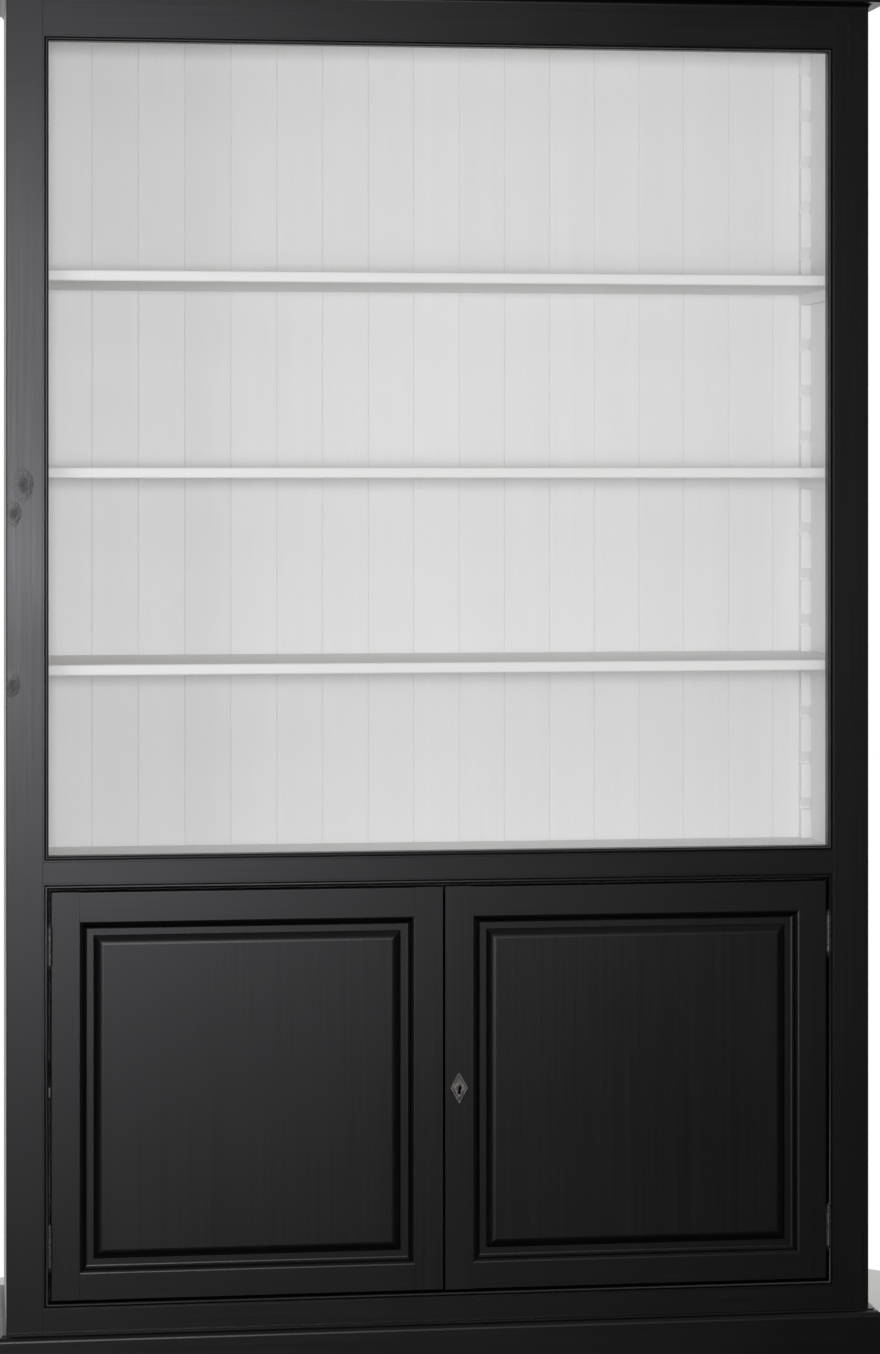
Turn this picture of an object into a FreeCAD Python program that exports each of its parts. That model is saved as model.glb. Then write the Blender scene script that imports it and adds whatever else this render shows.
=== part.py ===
import FreeCAD, Part
import math
import os

# A tall bookcase: open shelves above, a cupboard with a pair of panelled doors below.
# Millimetres. X runs along the front, +Y runs from the front to the back, +Z is up.
# The origin is on the floor, under the middle of the whole piece.

# Carcass
carcass_width = 1400.0
carcass_depth = 350.0
side_thickness = 20.0
panel_thickness = 20.0
housing_depth = 8.0

# Heights of the front, from the floor upwards
sill_height = 143.0
door_opening_height = 657.0
middle_rail_height = 53.0
upper_opening_height = 1295.0
frieze_height = 72.0
cornice_height = 65.0
cap_thickness = 15.0

# How far the horizontal panels lie behind the edges of the openings
bottom_lip = 18.0
deck_lip = 20.0
top_lip = 50.0

# Face frame
face_thickness = 22.0
stile_width = 57.5
bottom_rail_height = 100.0
stile_arris = 2.0
frame_tenon_length = 30.0
frame_tenon_thickness = 8.0
frame_tenon_shoulder = 6.0
mortise_play = 1.0

# Bead strips in the two openings
bead_width = 7.0
quirk_width = 2.5
quirk_depth = 4.0

# Plinth
plinth_height = 97.0
plinth_thickness = 18.0
plinth_fillet = 7.0
plinth_step = 2.5
plinth_round = 9.0

# Cornice
cornice_projection = 55.0
cornice_cove = 8.0
fascia_projection = 26.0
fascia_height = 14.0
fascia_step = 4.0
ogee_swell = 3.0
top_fillet_height = 10.0
top_fillet_step = 3.0
cap_overhang = 3.0

# Back boards, tongued and grooved
board_thickness = 12.0
board_pitch = 78.0
first_board_width = 59.0
least_board_width = 15.0
tongue_thickness = 4.0
tongue_length = 5.0
groove_play = 0.5
joint_vee = 1.6
back_rebate = 10.0
back_foot = 30.0

# Ladder strips and the battens that lie in their notches
strip_thickness = 17.5
strip_width = 20.0
first_notch = 49.5
notch_pitch = 78.9
notch_depth = 12.0
notch_root = 3.0
notch_relief = 3.0
batten_height = 18.0
batten_end_play = 0.3
batten_top_play = 1.0

# Open shelves, each on the notch that is counted from below, starting at nought
shelf_thickness = 18.0
shelf_setback = 10.0
shelf_edge_round = 4.0
shelf_side_play = 1.5
shelf_back_play = 1.0
shelf_strip_play = 1.0
shelf_notches = {"bottom_shelf": 3, "middle_shelf": 7, "top_shelf": 11}

# Shelf in the cupboard
cabinet_shelf_rise = 330.0
cabinet_shelf_setback = 60.0
cleat_height = 25.0
cleat_thickness = 20.0

# Doors
door_thickness = 22.0
door_clearance = 4.0
meeting_gap = 3.0
door_stile_width = 46.0
door_top_rail = 48.0
door_bottom_rail = 42.0
door_arris = 2.5
door_close_arris = 1.0
groove_back = 12.0
groove_width = 6.0
groove_depth = 10.0
panel_play = 1.0
door_tenon_length = 25.0
door_tenon_shoulder = 8.0

# Panel moulding and raised field
moulding_width = 22.0
ogee_width = 12.0
ogee_swell = 1.15
margin_depth = 9.6
bevel_width = 9.6
field_depth = 2.5
field_round = 20.0

# Butt hinges
leaf_thickness = 1.35
leaf_gap = 0.3
leaf_width = 20.0
hinge_length = 60.0
hinge_inset = 85.0
knuckle_count = 5
knuckle_gap = 0.3
barrel_radius = 4.5
barrel_proud = 0.3
pin_radius = 2.5
pin_clearance = 0.05
finial_length = 9.0
finial_tip = 1.2

# Wood screws of the hinges
screw_count = 3
screw_pitch = 19.0
screw_line = 12.5
screw_length = 16.0
shank_radius = 1.75
head_radius = 3.1
screw_clearance = 0.1

# Lock on the right door
lock_backset = 22.5
keyhole_radius = 4.0
keyhole_slot = 4.4
keyhole_drop = 10.0
lock_case_width = 36.0
lock_case_height = 62.0
lock_case_depth = 14.0
lock_case_inset = 1.5
lock_bolt_height = 12.0
lock_bolt_thickness = 7.0
lock_bolt_length = 30.0
lock_bolt_clearance = 0.2
lock_bolt_overlap = 2.0
lock_screw_inset = 5.5
lock_screw_radius = 1.6
lock_screw_head = 2.8
lock_screw_grip = 10.0

# Keyhole plate
plate_width = 30.0
plate_height = 55.0
plate_thickness = 3.0
plate_rim = 3.2
plate_sink = 1.3
plate_bevel = 1.0
plate_pin_inset = 8.0
plate_pin_radius = 0.9
plate_pin_head = 1.5
plate_pin_length = 9.0

# Sliding bolts inside the left door
bolt_width = 10.0
bolt_thickness = 6.0
bolt_length = 64.0
bolt_travel = 14.0
bolt_clearance = 0.2
bolt_tip_inset = 2.0
guide_plate_thickness = 2.0
guide_width = 24.0
guide_margin = 4.0
bridge_height = 8.0
bridge_wall = 2.0
knob_radius = 4.0
knob_length = 9.0
knob_play = 0.3

# Places worked out from the sizes above
half = carcass_width / 2
inner_half = half - side_thickness
frame_half = half - stile_width
bead_strip = bead_width + quirk_width
opening_half = frame_half - bead_strip
cap_projection = cornice_projection + cap_overhang
face_y = (cap_projection - carcass_depth) / 2
face_back_y = face_y + face_thickness
back_y = face_y + carcass_depth
board_front_y = back_y - board_thickness
door_sill_z = sill_height
door_head_z = door_sill_z + door_opening_height
upper_sill_z = door_head_z + middle_rail_height
upper_head_z = upper_sill_z + upper_opening_height
cornice_z = upper_head_z + frieze_height
carcass_top_z = cornice_z + cornice_height
bottom_top_z = door_sill_z - bottom_lip
deck_top_z = upper_sill_z - deck_lip
top_under_z = upper_head_z + top_lip
hinge_gap = 2 * leaf_thickness + leaf_gap
door_low_z = door_sill_z + door_clearance
door_high_z = door_head_z - door_clearance
door_back_y = face_y + door_thickness
door_near = meeting_gap / 2
door_far = opening_half - hinge_gap
axis_x = opening_half - hinge_gap / 2
axis_y = face_y - barrel_proud - barrel_radius
hinge_centres = (door_low_z + hinge_inset, door_high_z - hinge_inset)
lock_x = door_near + lock_backset
lock_z = (door_low_z + door_high_z) / 2
lock_bolt_low_z = lock_z + keyhole_drop - lock_bolt_overlap
lock_bolt_y = door_back_y + (lock_case_depth - lock_bolt_thickness) / 2
along_x = FreeCAD.Vector(1, 0, 0)
along_y = FreeCAD.Vector(0, 1, 0)
along_z = FreeCAD.Vector(0, 0, 1)
half_right_angle = math.radians(45)


def block(x0, x1, y0, y1, z0, z1):
    """Box between two corners, each pair of limits in either order."""
    low = FreeCAD.Vector(min(x0, x1), min(y0, y1), min(z0, z1))
    return Part.makeBox(abs(x1 - x0), abs(y1 - y0), abs(z1 - z0), low)


def rod(radius, start, direction, length):
    """Round bar from a start point along a direction."""
    return Part.makeCylinder(radius, length, FreeCAD.Vector(*start), direction)


def outline_face(outline, place):
    """Flat face inside an outline. An entry of two points is an arc through the first to the second."""
    edges = []
    here = outline[0]
    for entry in list(outline[1:]) + [outline[0]]:
        if isinstance(entry[0], tuple):
            middle, end = entry
            edges.append(Part.Arc(place(*here), place(*middle), place(*end)).toShape())
        else:
            end = entry
            edges.append(Part.LineSegment(place(*here), place(*end)).toShape())
        here = end
    return Part.Face(Part.Wire(edges))


def prism(outline, place, direction, length):
    """Solid of one section carried straight along a direction."""
    return outline_face(outline, place).extrude(direction * length)


def round_edges(shape, radius, chosen):
    """Round the edges of a shape that a test on the edge's box picks out."""
    edges = [edge for edge in shape.Edges if chosen(edge.BoundBox)]
    return shape.makeFillet(radius, edges)


def front_edge_at(x):
    """Test for the upright edge at a place along the front face."""
    def chosen(box):
        return abs(box.XMin - x) + abs(box.XMax - x) + abs(box.YMin - face_y) + abs(box.YMax - face_y) < 0.01
    return chosen


def front_edge_level(z):
    """Test for the level edge at a height on the front face."""
    def chosen(box):
        return abs(box.ZMin - z) + abs(box.ZMax - z) + abs(box.YMin - face_y) + abs(box.YMax - face_y) < 0.01
    return chosen


def mirrored(shape):
    """The same shape on the other side of the middle."""
    return shape.mirror(FreeCAD.Vector(0, 0, 0), along_x)


def both_sides(shape):
    """A shape on the right and its mirror image on the left, as separate solids."""
    return Part.makeCompound([shape, mirrored(shape)])


def flipped(shape, level):
    """The same shape upside down about a level."""
    return shape.mirror(FreeCAD.Vector(0, 0, level), along_z)


def mitred_frame(x0, x1, z0, z1, section, width, depth):
    """Four mitred strips inside a rectangle; the section runs inwards and back from the face."""
    strips = []
    for edge, inward in ((z0, 1), (z1, -1)):
        bar = prism(section, lambda s, d: FreeCAD.Vector(x0, face_y + d, edge + inward * s), along_x, x1 - x0)
        tip = edge + inward * width
        cut = [(x0, edge), (x1, edge), (x1 - width, tip), (x0 + width, tip)]
        strips.append(bar.common(prism(cut, lambda x, z: FreeCAD.Vector(x, face_y, z), along_y, depth)))
    for edge, inward in ((x0, 1), (x1, -1)):
        bar = prism(section, lambda s, d: FreeCAD.Vector(edge + inward * s, face_y + d, z0), along_z, z1 - z0)
        tip = edge + inward * width
        cut = [(edge, z0), (edge, z1), (tip, z1 - width), (tip, z0 + width)]
        strips.append(bar.common(prism(cut, lambda x, z: FreeCAD.Vector(x, face_y, z), along_y, depth)))
    return Part.makeCompound([strip.Solids[0] for strip in strips])


def mitred_run(section, reach, low_z, high_z):
    """Front length and right return of a moulding that goes round the carcass, mitred at the corner."""
    height = high_z - low_z

    def level(x, y):
        return FreeCAD.Vector(x, y, low_z)

    front_y = face_y - reach
    front_bar = prism(section, lambda o, h: FreeCAD.Vector(-half - reach, face_y - o, low_z + h), along_x,
                      carcass_width + 2 * reach)
    front_cut = [(-half, face_y), (half, face_y), (half + reach, front_y), (-half - reach, front_y)]
    front = front_bar.common(prism(front_cut, level, along_z, height))
    side_bar = prism(section, lambda o, h: FreeCAD.Vector(half + o, front_y, low_z + h), along_y,
                     carcass_depth + reach)
    side_cut = [(half, face_y), (half + reach, front_y), (half + reach, back_y), (half, back_y)]
    side = side_bar.common(prism(side_cut, level, along_z, height))
    return front.Solids[0], side.Solids[0]


def shelf_levels():
    """Underside of each open shelf, on a batten in its notch."""
    lowest = deck_top_z + first_notch + batten_height
    return {name: lowest + notch * notch_pitch for name, notch in shelf_notches.items()}


def rail_spans():
    """Lower and upper limits of the face frame's three rails."""
    return {
        "face_bottom_rail": (door_sill_z - bead_strip - bottom_rail_height, door_sill_z - bead_strip),
        "face_middle_rail": (door_head_z + bead_strip, upper_sill_z - bead_strip),
        "face_top_rail": (upper_head_z + bead_strip, carcass_top_z),
    }


def frame_tenon(low, high, length):
    """Tenon on the right end of a rail of the face frame."""
    middle_y = face_y + face_thickness / 2
    return block(frame_half, frame_half + length,
                 middle_y - frame_tenon_thickness / 2, middle_y + frame_tenon_thickness / 2,
                 low + frame_tenon_shoulder, high - frame_tenon_shoulder)


def screw_places(centre):
    """Heights of the screws of one hinge leaf."""
    return [centre + (i - (screw_count - 1) / 2) * screw_pitch for i in range(screw_count)]


def hinge_screw(face_x, outward, height, clearance):
    """Countersunk screw from the face of a leaf; with a clearance it is the hole for one."""
    start_x = face_x - outward * leaf_thickness
    centre = FreeCAD.Vector(start_x, face_y + screw_line, height)
    direction = along_x * outward
    head = Part.makeCone(head_radius + clearance, shank_radius + clearance, leaf_thickness, centre, direction)
    shank = Part.makeCylinder(shank_radius + clearance, screw_length + clearance, centre, direction)
    return head.fuse(shank).removeSplitter()


def all_hinge_screws(face_x, outward, clearance):
    """The screws, or their holes, of both right-hand hinges in one edge."""
    return [hinge_screw(face_x, outward, height, clearance)
            for centre in hinge_centres for height in screw_places(centre)]


def side_panel():
    """Right side: rebated for the back and housed for the three horizontal panels."""
    panel = block(inner_half, half, face_back_y, back_y, 0, carcass_top_z)
    panel = panel.cut(block(inner_half, inner_half + back_rebate, board_front_y, back_y, 0, carcass_top_z))
    for low in panel_levels().values():
        panel = panel.cut(block(inner_half, inner_half + housing_depth, face_back_y, board_front_y,
                                low, low + panel_thickness))
    return panel


def panel_levels():
    """Underside of each horizontal panel of the carcass."""
    return {
        "bottom_panel": bottom_top_z - panel_thickness,
        "middle_deck": deck_top_z - panel_thickness,
        "top_panel": top_under_z,
    }


def back_boards():
    """Upright boards across the back, each tongued into the next, with a V at every joint."""
    left = -inner_half - back_rebate
    right = inner_half + back_rebate
    joints = [left + first_board_width]
    while joints[-1] + board_pitch < right - least_board_width:
        joints.append(joints[-1] + board_pitch)
    edges = [left] + joints + [right]
    tongue_front = board_front_y + (board_thickness - tongue_thickness) / 2
    tongue_back = tongue_front + tongue_thickness
    boards = []
    for near, far in zip(edges[:-1], edges[1:]):
        outline = []
        if near == left:
            outline += [(near, back_y), (near, board_front_y)]
        else:
            groove = near + tongue_length + groove_play
            outline += [(near, back_y), (near, tongue_back), (groove, tongue_back), (groove, tongue_front),
                        (near, tongue_front), (near, board_front_y + joint_vee),
                        (near + joint_vee, board_front_y)]
        if far == right:
            outline += [(far, board_front_y), (far, back_y)]
        else:
            tip = far + tongue_length
            outline += [(far - joint_vee, board_front_y), (far, board_front_y + joint_vee),
                        (far, tongue_front),
                        (tip, tongue_front), (tip, tongue_back), (far, tongue_back), (far, back_y)]
        boards.append(prism(outline, lambda x, y: FreeCAD.Vector(x, y, back_foot), along_z,
                            carcass_top_z - back_foot))
    return Part.makeCompound(boards)


def face_stile():
    """Right stile of the face frame, with its mortises and the holes for the hinge screws."""
    stile = block(frame_half, half, face_y, face_back_y, 0, carcass_top_z)
    stile = round_edges(stile, stile_arris, front_edge_at(half))
    for low, high in rail_spans().values():
        stile = stile.cut(frame_tenon(low, high, frame_tenon_length + mortise_play))
    for hole in all_hinge_screws(opening_half, 1, screw_clearance):
        stile = stile.cut(hole)
    return stile


def face_rail(low, high):
    """Rail between the stiles, with a tenon at each end."""
    tenon = frame_tenon(low, high, frame_tenon_length)
    rail = block(-frame_half, frame_half, face_y, face_back_y, low, high)
    return rail.fuse([tenon, mirrored(tenon)]).removeSplitter()


def bead_section():
    """Section of a bead strip: a groove beside the frame, then a half-round nose flush with the face."""
    nose = bead_width / 2
    return [(0, quirk_depth), (quirk_width, quirk_depth), (quirk_width, nose),
            ((quirk_width + nose, 0), (bead_strip, nose)), (bead_strip, face_thickness), (0, face_thickness)]


def opening_bead(low, high):
    """Mitred bead strips round an opening between two heights."""
    return mitred_frame(-frame_half, frame_half, low - bead_strip, high + bead_strip,
                        bead_section(), bead_strip, face_thickness)


def door_opening_bead():
    """Bead strips of the door opening, drilled for the hinge screws."""
    bead = opening_bead(door_sill_z, door_head_z)
    holes = all_hinge_screws(opening_half, 1, screw_clearance)
    holes += [mirrored(hole) for hole in holes]
    strips = []
    for strip in bead.Solids:
        for hole in holes:
            if strip.BoundBox.intersect(hole.BoundBox):
                strip = strip.cut(hole)
        strips += strip.Solids
    return Part.makeCompound(strips)


def plinth_section():
    """Section of the plinth: a board with a fillet and a quarter round along its top."""
    shoulder = plinth_height - plinth_step
    centre = (plinth_thickness - plinth_round, shoulder - plinth_round)
    middle = (centre[0] + plinth_round * math.cos(half_right_angle),
              centre[1] + plinth_round * math.sin(half_right_angle))
    return [(0, 0), (plinth_thickness, 0), (plinth_thickness, shoulder - plinth_round),
            (middle, (centre[0], shoulder)), (plinth_fillet, shoulder), (plinth_fillet, plinth_height),
            (0, plinth_height)]


def cornice_section():
    """Section of the cornice: a small cove, a fascia, an ogee that leans out and a fillet on top."""
    cove_middle = (cornice_cove * (1 - math.cos(half_right_angle)), cornice_cove * math.sin(half_right_angle))
    fascia_top = cornice_cove + fascia_height
    start = (fascia_projection + fascia_step, fascia_top)
    end = (cornice_projection - top_fillet_step, cornice_height - top_fillet_height)
    run = math.hypot(end[0] - start[0], end[1] - start[1])
    across = (ogee_swell * (end[1] - start[1]) / run, -ogee_swell * (end[0] - start[0]) / run)

    def between(share, swell):
        return (start[0] + share * (end[0] - start[0]) + swell * across[0],
                start[1] + share * (end[1] - start[1]) + swell * across[1])

    return [(0, 0), (cove_middle, (cornice_cove, cornice_cove)), (fascia_projection, cornice_cove),
            (fascia_projection, fascia_top), start, (between(0.25, 1), between(0.5, 0)),
            (between(0.75, -1), end), (cornice_projection, end[1]), (cornice_projection, cornice_height),
            (0, cornice_height)]


def ladder_strip(root_y, inward):
    """Right-hand ladder strip; its notches open inwards, away from the wall behind it."""
    face = root_y + inward * strip_width
    deepest = face - inward * notch_depth
    mouth = batten_height + notch_relief
    strip = block(inner_half - strip_thickness, inner_half, root_y, face, deck_top_z, top_under_z)
    ledge = deck_top_z + first_notch
    while ledge + mouth < top_under_z:
        notch = [(face, ledge), (deepest, ledge), (deepest, ledge + notch_root), (face, ledge + mouth)]
        strip = strip.cut(prism(notch, lambda y, z: FreeCAD.Vector(inner_half - strip_thickness, y, z),
                                along_x, strip_thickness))
        ledge += notch_pitch
    return strip


def batten(top):
    """Right-hand batten whose slanting ends lie in a pair of notches."""
    low = top - batten_height
    front = face_back_y + strip_width - notch_depth + batten_end_play
    back = board_front_y - strip_width + notch_depth - batten_end_play
    slope = (batten_height + notch_relief - notch_root) / notch_depth
    tip = notch_root - batten_top_play + slope * batten_end_play
    run = (batten_height - tip) / slope
    outline = [(front, low), (back, low), (back, low + tip), (back - run, top), (front + run, top),
               (front, low + tip)]
    near = inner_half - strip_thickness
    return prism(outline, lambda y, z: FreeCAD.Vector(near, y, z), along_x, strip_thickness)


def open_shelf(under):
    """Shelf cut round the ladder strips at its corners, with a rounded front edge."""
    front = face_back_y + shelf_setback
    width = inner_half - shelf_side_play
    shelf = block(-width, width, front, board_front_y - shelf_back_play, under, under + shelf_thickness)
    shelf = round_edges(shelf, shelf_edge_round,
                        lambda box: box.YMax - front < 0.01 and box.XLength > width)
    near = inner_half - strip_thickness - shelf_strip_play
    room = strip_width + shelf_strip_play
    for corner in (block(near, inner_half, face_back_y, face_back_y + room, under, under + shelf_thickness),
                   block(near, inner_half, board_front_y - room, board_front_y, under,
                         under + shelf_thickness)):
        shelf = shelf.cut([corner, mirrored(corner)])
    return shelf


def cabinet_shelf():
    """Plain shelf in the cupboard, on cleats."""
    front = face_back_y + cabinet_shelf_setback
    width = inner_half - shelf_side_play
    under = bottom_top_z + cabinet_shelf_rise
    shelf = block(-width, width, front, board_front_y - shelf_back_play, under, under + shelf_thickness)
    return round_edges(shelf, shelf_edge_round, lambda box: box.YMax - front < 0.01 and box.XLength > width)


def cabinet_cleat():
    """Right-hand cleat under the shelf in the cupboard."""
    top = bottom_top_z + cabinet_shelf_rise
    return block(inner_half - cleat_thickness, inner_half, face_back_y + cabinet_shelf_setback,
                 board_front_y - shelf_back_play, top - cleat_height, top)


def groove_limits():
    """Front and back of the groove in the door frame."""
    return face_y + groove_back, face_y + groove_back + groove_width


def door_rail_spans():
    """Lower and upper limits of the door's rails, and the side of each that takes the panel."""
    return ((door_low_z, door_low_z + door_bottom_rail, 1), (door_high_z - door_top_rail, door_high_z, -1))


def rail_tenon(low, high, panel_side, length, reach):
    """Haunched tenon at the outer end of a right-hand door rail, as long as a reach into the stile."""
    front, back = groove_limits()
    start = door_far - door_stile_width
    inner_low = low + (groove_depth if panel_side < 0 else 0)
    inner_high = high - (groove_depth if panel_side > 0 else 0)
    haunch = block(start, start + length, front, back, inner_low, inner_high)
    outer_low = inner_low + (door_tenon_shoulder if panel_side > 0 else 0)
    outer_high = inner_high - (door_tenon_shoulder if panel_side < 0 else 0)
    return haunch.fuse(block(start, start + reach, front, back, outer_low, outer_high)).removeSplitter()


def turned_inwards(shape):
    """A piece of the right door's outer end, turned over to its meeting end."""
    return shape.mirror(FreeCAD.Vector((door_near + door_far) / 2, 0, 0), along_x)


def door_stile(arris):
    """Outer stile of the right door, rounded in front, grooved for the panel and mortised for the rails."""
    front, back = groove_limits()
    inner = door_far - door_stile_width
    stile = block(inner, door_far, face_y, door_back_y, door_low_z, door_high_z)
    stile = round_edges(stile, arris, front_edge_at(door_far))
    stile = stile.cut(block(inner, inner + groove_depth, front, back, door_low_z, door_high_z))
    for low, high, panel_side in door_rail_spans():
        stile = stile.cut(rail_tenon(low, high, panel_side, groove_depth, door_tenon_length + mortise_play))
    return stile


def hinge_stile():
    """Outer stile of the right door with the holes for its hinge screws."""
    stile = door_stile(door_arris)
    for hole in all_hinge_screws(door_far, -1, screw_clearance):
        stile = stile.cut(hole)
    return stile


def door_rail(low, high, panel_side):
    """Rail of the right door with haunched tenons, grooved for the panel."""
    front, back = groove_limits()
    near = door_near + door_stile_width
    far = door_far - door_stile_width
    outer_edge = low if panel_side > 0 else high
    panel_edge = high if panel_side > 0 else low
    rail = block(near, far, face_y, door_back_y, low, high)
    arris = door_close_arris if panel_side > 0 else door_arris
    rail = round_edges(rail, arris, front_edge_level(outer_edge))
    rail = rail.cut(block(near, far, front, back, panel_edge, panel_edge - panel_side * groove_depth))
    tenon = rail_tenon(low, high, panel_side, groove_depth, door_tenon_length)
    return rail.fuse([tenon, turned_inwards(tenon)]).removeSplitter()


def panel_sight():
    """Edges of the door frame that the panel shows between."""
    return (door_near + door_stile_width, door_far - door_stile_width,
            door_low_z + door_bottom_rail, door_high_z - door_top_rail)


def door_panel():
    """Panel of the right door: a thin edge in the grooves and a raised field with a soft bevel round it."""
    x0, x1, z0, z1 = panel_sight()
    front, back = groove_limits()
    reach = groove_depth - panel_play
    plate = block(x0 - reach, x1 + reach, front, back, z0 - reach, z1 + reach)
    field_y = face_y + field_depth
    margin_y = face_y + margin_depth
    inset = moulding_width + bevel_width

    def raised(low, high):
        foot_low, foot_high = low + moulding_width, high - moulding_width
        return [(foot_low, front), (foot_high, front), (foot_high, margin_y), (high - inset, field_y),
                (low + inset, field_y), (foot_low, margin_y)]

    level = prism(raised(z0, z1), lambda z, y: FreeCAD.Vector(x0, y, z), along_x, x1 - x0)
    field = level.common(prism(raised(x0, x1), lambda x, y: FreeCAD.Vector(x, y, z0), along_z, z1 - z0))
    field = round_edges(field, field_round, lambda box: box.YMax - field_y < 0.01)
    return plate.fuse(field).removeSplitter()


def door_moulding():
    """Mitred moulding inside the right door's frame: an ogee that ends in a level margin."""
    x0, x1, z0, z1 = panel_sight()
    run, drop = ogee_width / 2, margin_depth / 2
    lean = ogee_swell / math.hypot(run, drop)
    across, deep = run / 2 + lean * drop, drop / 2 - lean * run
    section = [(0, 0), ((across, deep), (run, drop)),
               ((ogee_width - across, margin_depth - deep), (ogee_width, margin_depth)),
               (moulding_width, margin_depth), (moulding_width, groove_back), (0, groove_back)]
    return mitred_frame(x0, x1, z0, z1, section, moulding_width, groove_back)


def knuckle_spans(centre, first):
    """Every second length of a hinge barrel, starting with the given one from below."""
    low = centre - hinge_length / 2
    pitch = hinge_length / knuckle_count
    return [(low + i * pitch + knuckle_gap / 2, low + (i + 1) * pitch - knuckle_gap / 2)
            for i in range(first, knuckle_count, 2)]


def hinge_leaf(centre, first, outward):
    """Leaf of a right-hand hinge with its knuckles; outward is 1 on the frame and -1 on the door."""
    near = axis_x + outward * leaf_gap / 2
    far = near + outward * leaf_thickness
    leaf = block(near, far, face_y, face_y + leaf_width, centre - hinge_length / 2, centre + hinge_length / 2)
    for low, high in knuckle_spans(centre, first):
        barrel = rod(barrel_radius, (axis_x, axis_y, low), along_z, high - low)
        leaf = leaf.fuse([barrel, block(near, far, axis_y, face_y, low, high)])
    leaf = leaf.cut(rod(pin_radius + pin_clearance, (axis_x, axis_y, centre - hinge_length), along_z,
                        2 * hinge_length))
    for height in screw_places(centre):
        leaf = leaf.cut(hinge_screw(far, outward, height, screw_clearance))
    return leaf.removeSplitter().Solids[0]


def hinge_pin(centre):
    """Pin of a right-hand hinge, with a tapering turned end above and below the barrel."""
    low = centre - hinge_length / 2
    pin = rod(pin_radius, (axis_x, axis_y, low), along_z, hinge_length)
    finial = Part.makeCone(barrel_radius, finial_tip, finial_length,
                           FreeCAD.Vector(axis_x, axis_y, low + hinge_length), along_z)
    return pin.fuse([finial, flipped(finial, centre)]).removeSplitter()


def keyhole(front, back):
    """Keyhole from one depth to another: a round hole with a slot below it."""
    hole = rod(keyhole_radius, (lock_x, front, lock_z), along_y, back - front)
    slot = block(lock_x - keyhole_slot / 2, lock_x + keyhole_slot / 2, front, back, lock_z - keyhole_drop,
                 lock_z)
    return hole.fuse(slot).removeSplitter()


def lock_case_limits():
    """Left, right, lower and upper limits of the lock case."""
    left = door_near + lock_case_inset
    return left, left + lock_case_width, lock_z - lock_case_height / 2, lock_z + lock_case_height / 2


def lock_screw_places():
    """Centres of the lock's four screws."""
    left, right, low, high = lock_case_limits()
    return [(x, z) for x in (left + lock_screw_inset, right - lock_screw_inset)
            for z in (low + lock_screw_inset, high - lock_screw_inset)]


def lock_screw(x, z, clearance):
    """Screw through the lock case into the stile; with a clearance it is the hole for one."""
    back = door_back_y + lock_case_depth
    shank = rod(lock_screw_radius + clearance, (x, back - lock_case_depth - lock_screw_grip - clearance, z),
                along_y, lock_case_depth + lock_screw_grip + clearance)
    if clearance:
        return shank
    head = Part.makeCone(lock_screw_head, lock_screw_radius, lock_screw_radius,
                         FreeCAD.Vector(x, back, z), along_y)
    return shank.fuse(head).removeSplitter()


def lock_stile():
    """Meeting stile of the right door with the keyhole and the holes for the lock and its plate."""
    stile = turned_inwards(door_stile(door_close_arris))
    stile = stile.cut(keyhole(face_y, door_back_y))
    for x, z in lock_screw_places():
        stile = stile.cut(lock_screw(x, z, screw_clearance))
    for z in plate_pin_heights():
        stile = stile.cut(plate_pin(z, screw_clearance))
    return stile


def lock_case():
    """Rim lock on the back of the door: a block with a channel for its bolt and a well for the key."""
    left, right, low, high = lock_case_limits()
    case = block(left, right, door_back_y, door_back_y + lock_case_depth, low, high)
    gap = lock_bolt_clearance
    case = case.cut(block(left, left + lock_bolt_length + gap, lock_bolt_y - gap,
                          lock_bolt_y + lock_bolt_thickness + gap, lock_bolt_low_z - gap,
                          lock_bolt_low_z + lock_bolt_height + gap))
    case = case.cut(rod(keyhole_drop, (lock_x, door_back_y, lock_z), along_y,
                        lock_bolt_y + lock_bolt_thickness - door_back_y))
    for x, z in lock_screw_places():
        case = case.cut(lock_screw(x, z, screw_clearance))
    return case


def lock_bolt():
    """Bolt of the lock, withdrawn, with a notch in its lower edge where the key lifts it along."""
    left = lock_case_limits()[0]
    bolt = block(left, left + lock_bolt_length, lock_bolt_y, lock_bolt_y + lock_bolt_thickness,
                 lock_bolt_low_z, lock_bolt_low_z + lock_bolt_height)
    return bolt.cut(block(lock_x - keyhole_slot, lock_x + keyhole_slot, lock_bolt_y,
                          lock_bolt_y + lock_bolt_thickness, lock_bolt_low_z,
                          lock_bolt_low_z + lock_bolt_overlap))


def diamond(inset):
    """Corners of the keyhole plate's outline, drawn in by the same distance on every side."""
    slant = math.hypot(plate_width / 2, plate_height / 2)
    wide = plate_width / 2 - inset * slant / (plate_height / 2)
    tall = plate_height / 2 - inset * slant / (plate_width / 2)
    return [(-wide, 0), (0, -tall), (wide, 0), (0, tall)]


def diamond_taper(front, back):
    """Solid between two diamonds, each given by its inset and its distance in front of the door."""
    def wire(inset, proud):
        corners = [FreeCAD.Vector(lock_x + x, face_y - proud, lock_z + z) for x, z in diamond(inset)]
        return Part.makePolygon(corners + corners[:1])
    return Part.makeLoft([wire(*back), wire(*front)], True, True)


def plate_pin_heights():
    """Heights of the two pins that hold the keyhole plate."""
    reach = plate_height / 2 - plate_pin_inset
    return lock_z - reach, lock_z + reach


def plate_pin(z, clearance):
    """Round-headed pin through the keyhole plate; with a clearance it is the hole for one."""
    start = face_y - plate_thickness
    shank = rod(plate_pin_radius + clearance, (lock_x, start, z), along_y, plate_pin_length + clearance)
    if clearance:
        return shank
    dome = Part.makeSphere(plate_pin_head, FreeCAD.Vector(lock_x, start, z), -along_y, 0, 90, 360)
    return shank.fuse(dome).removeSplitter()


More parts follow.
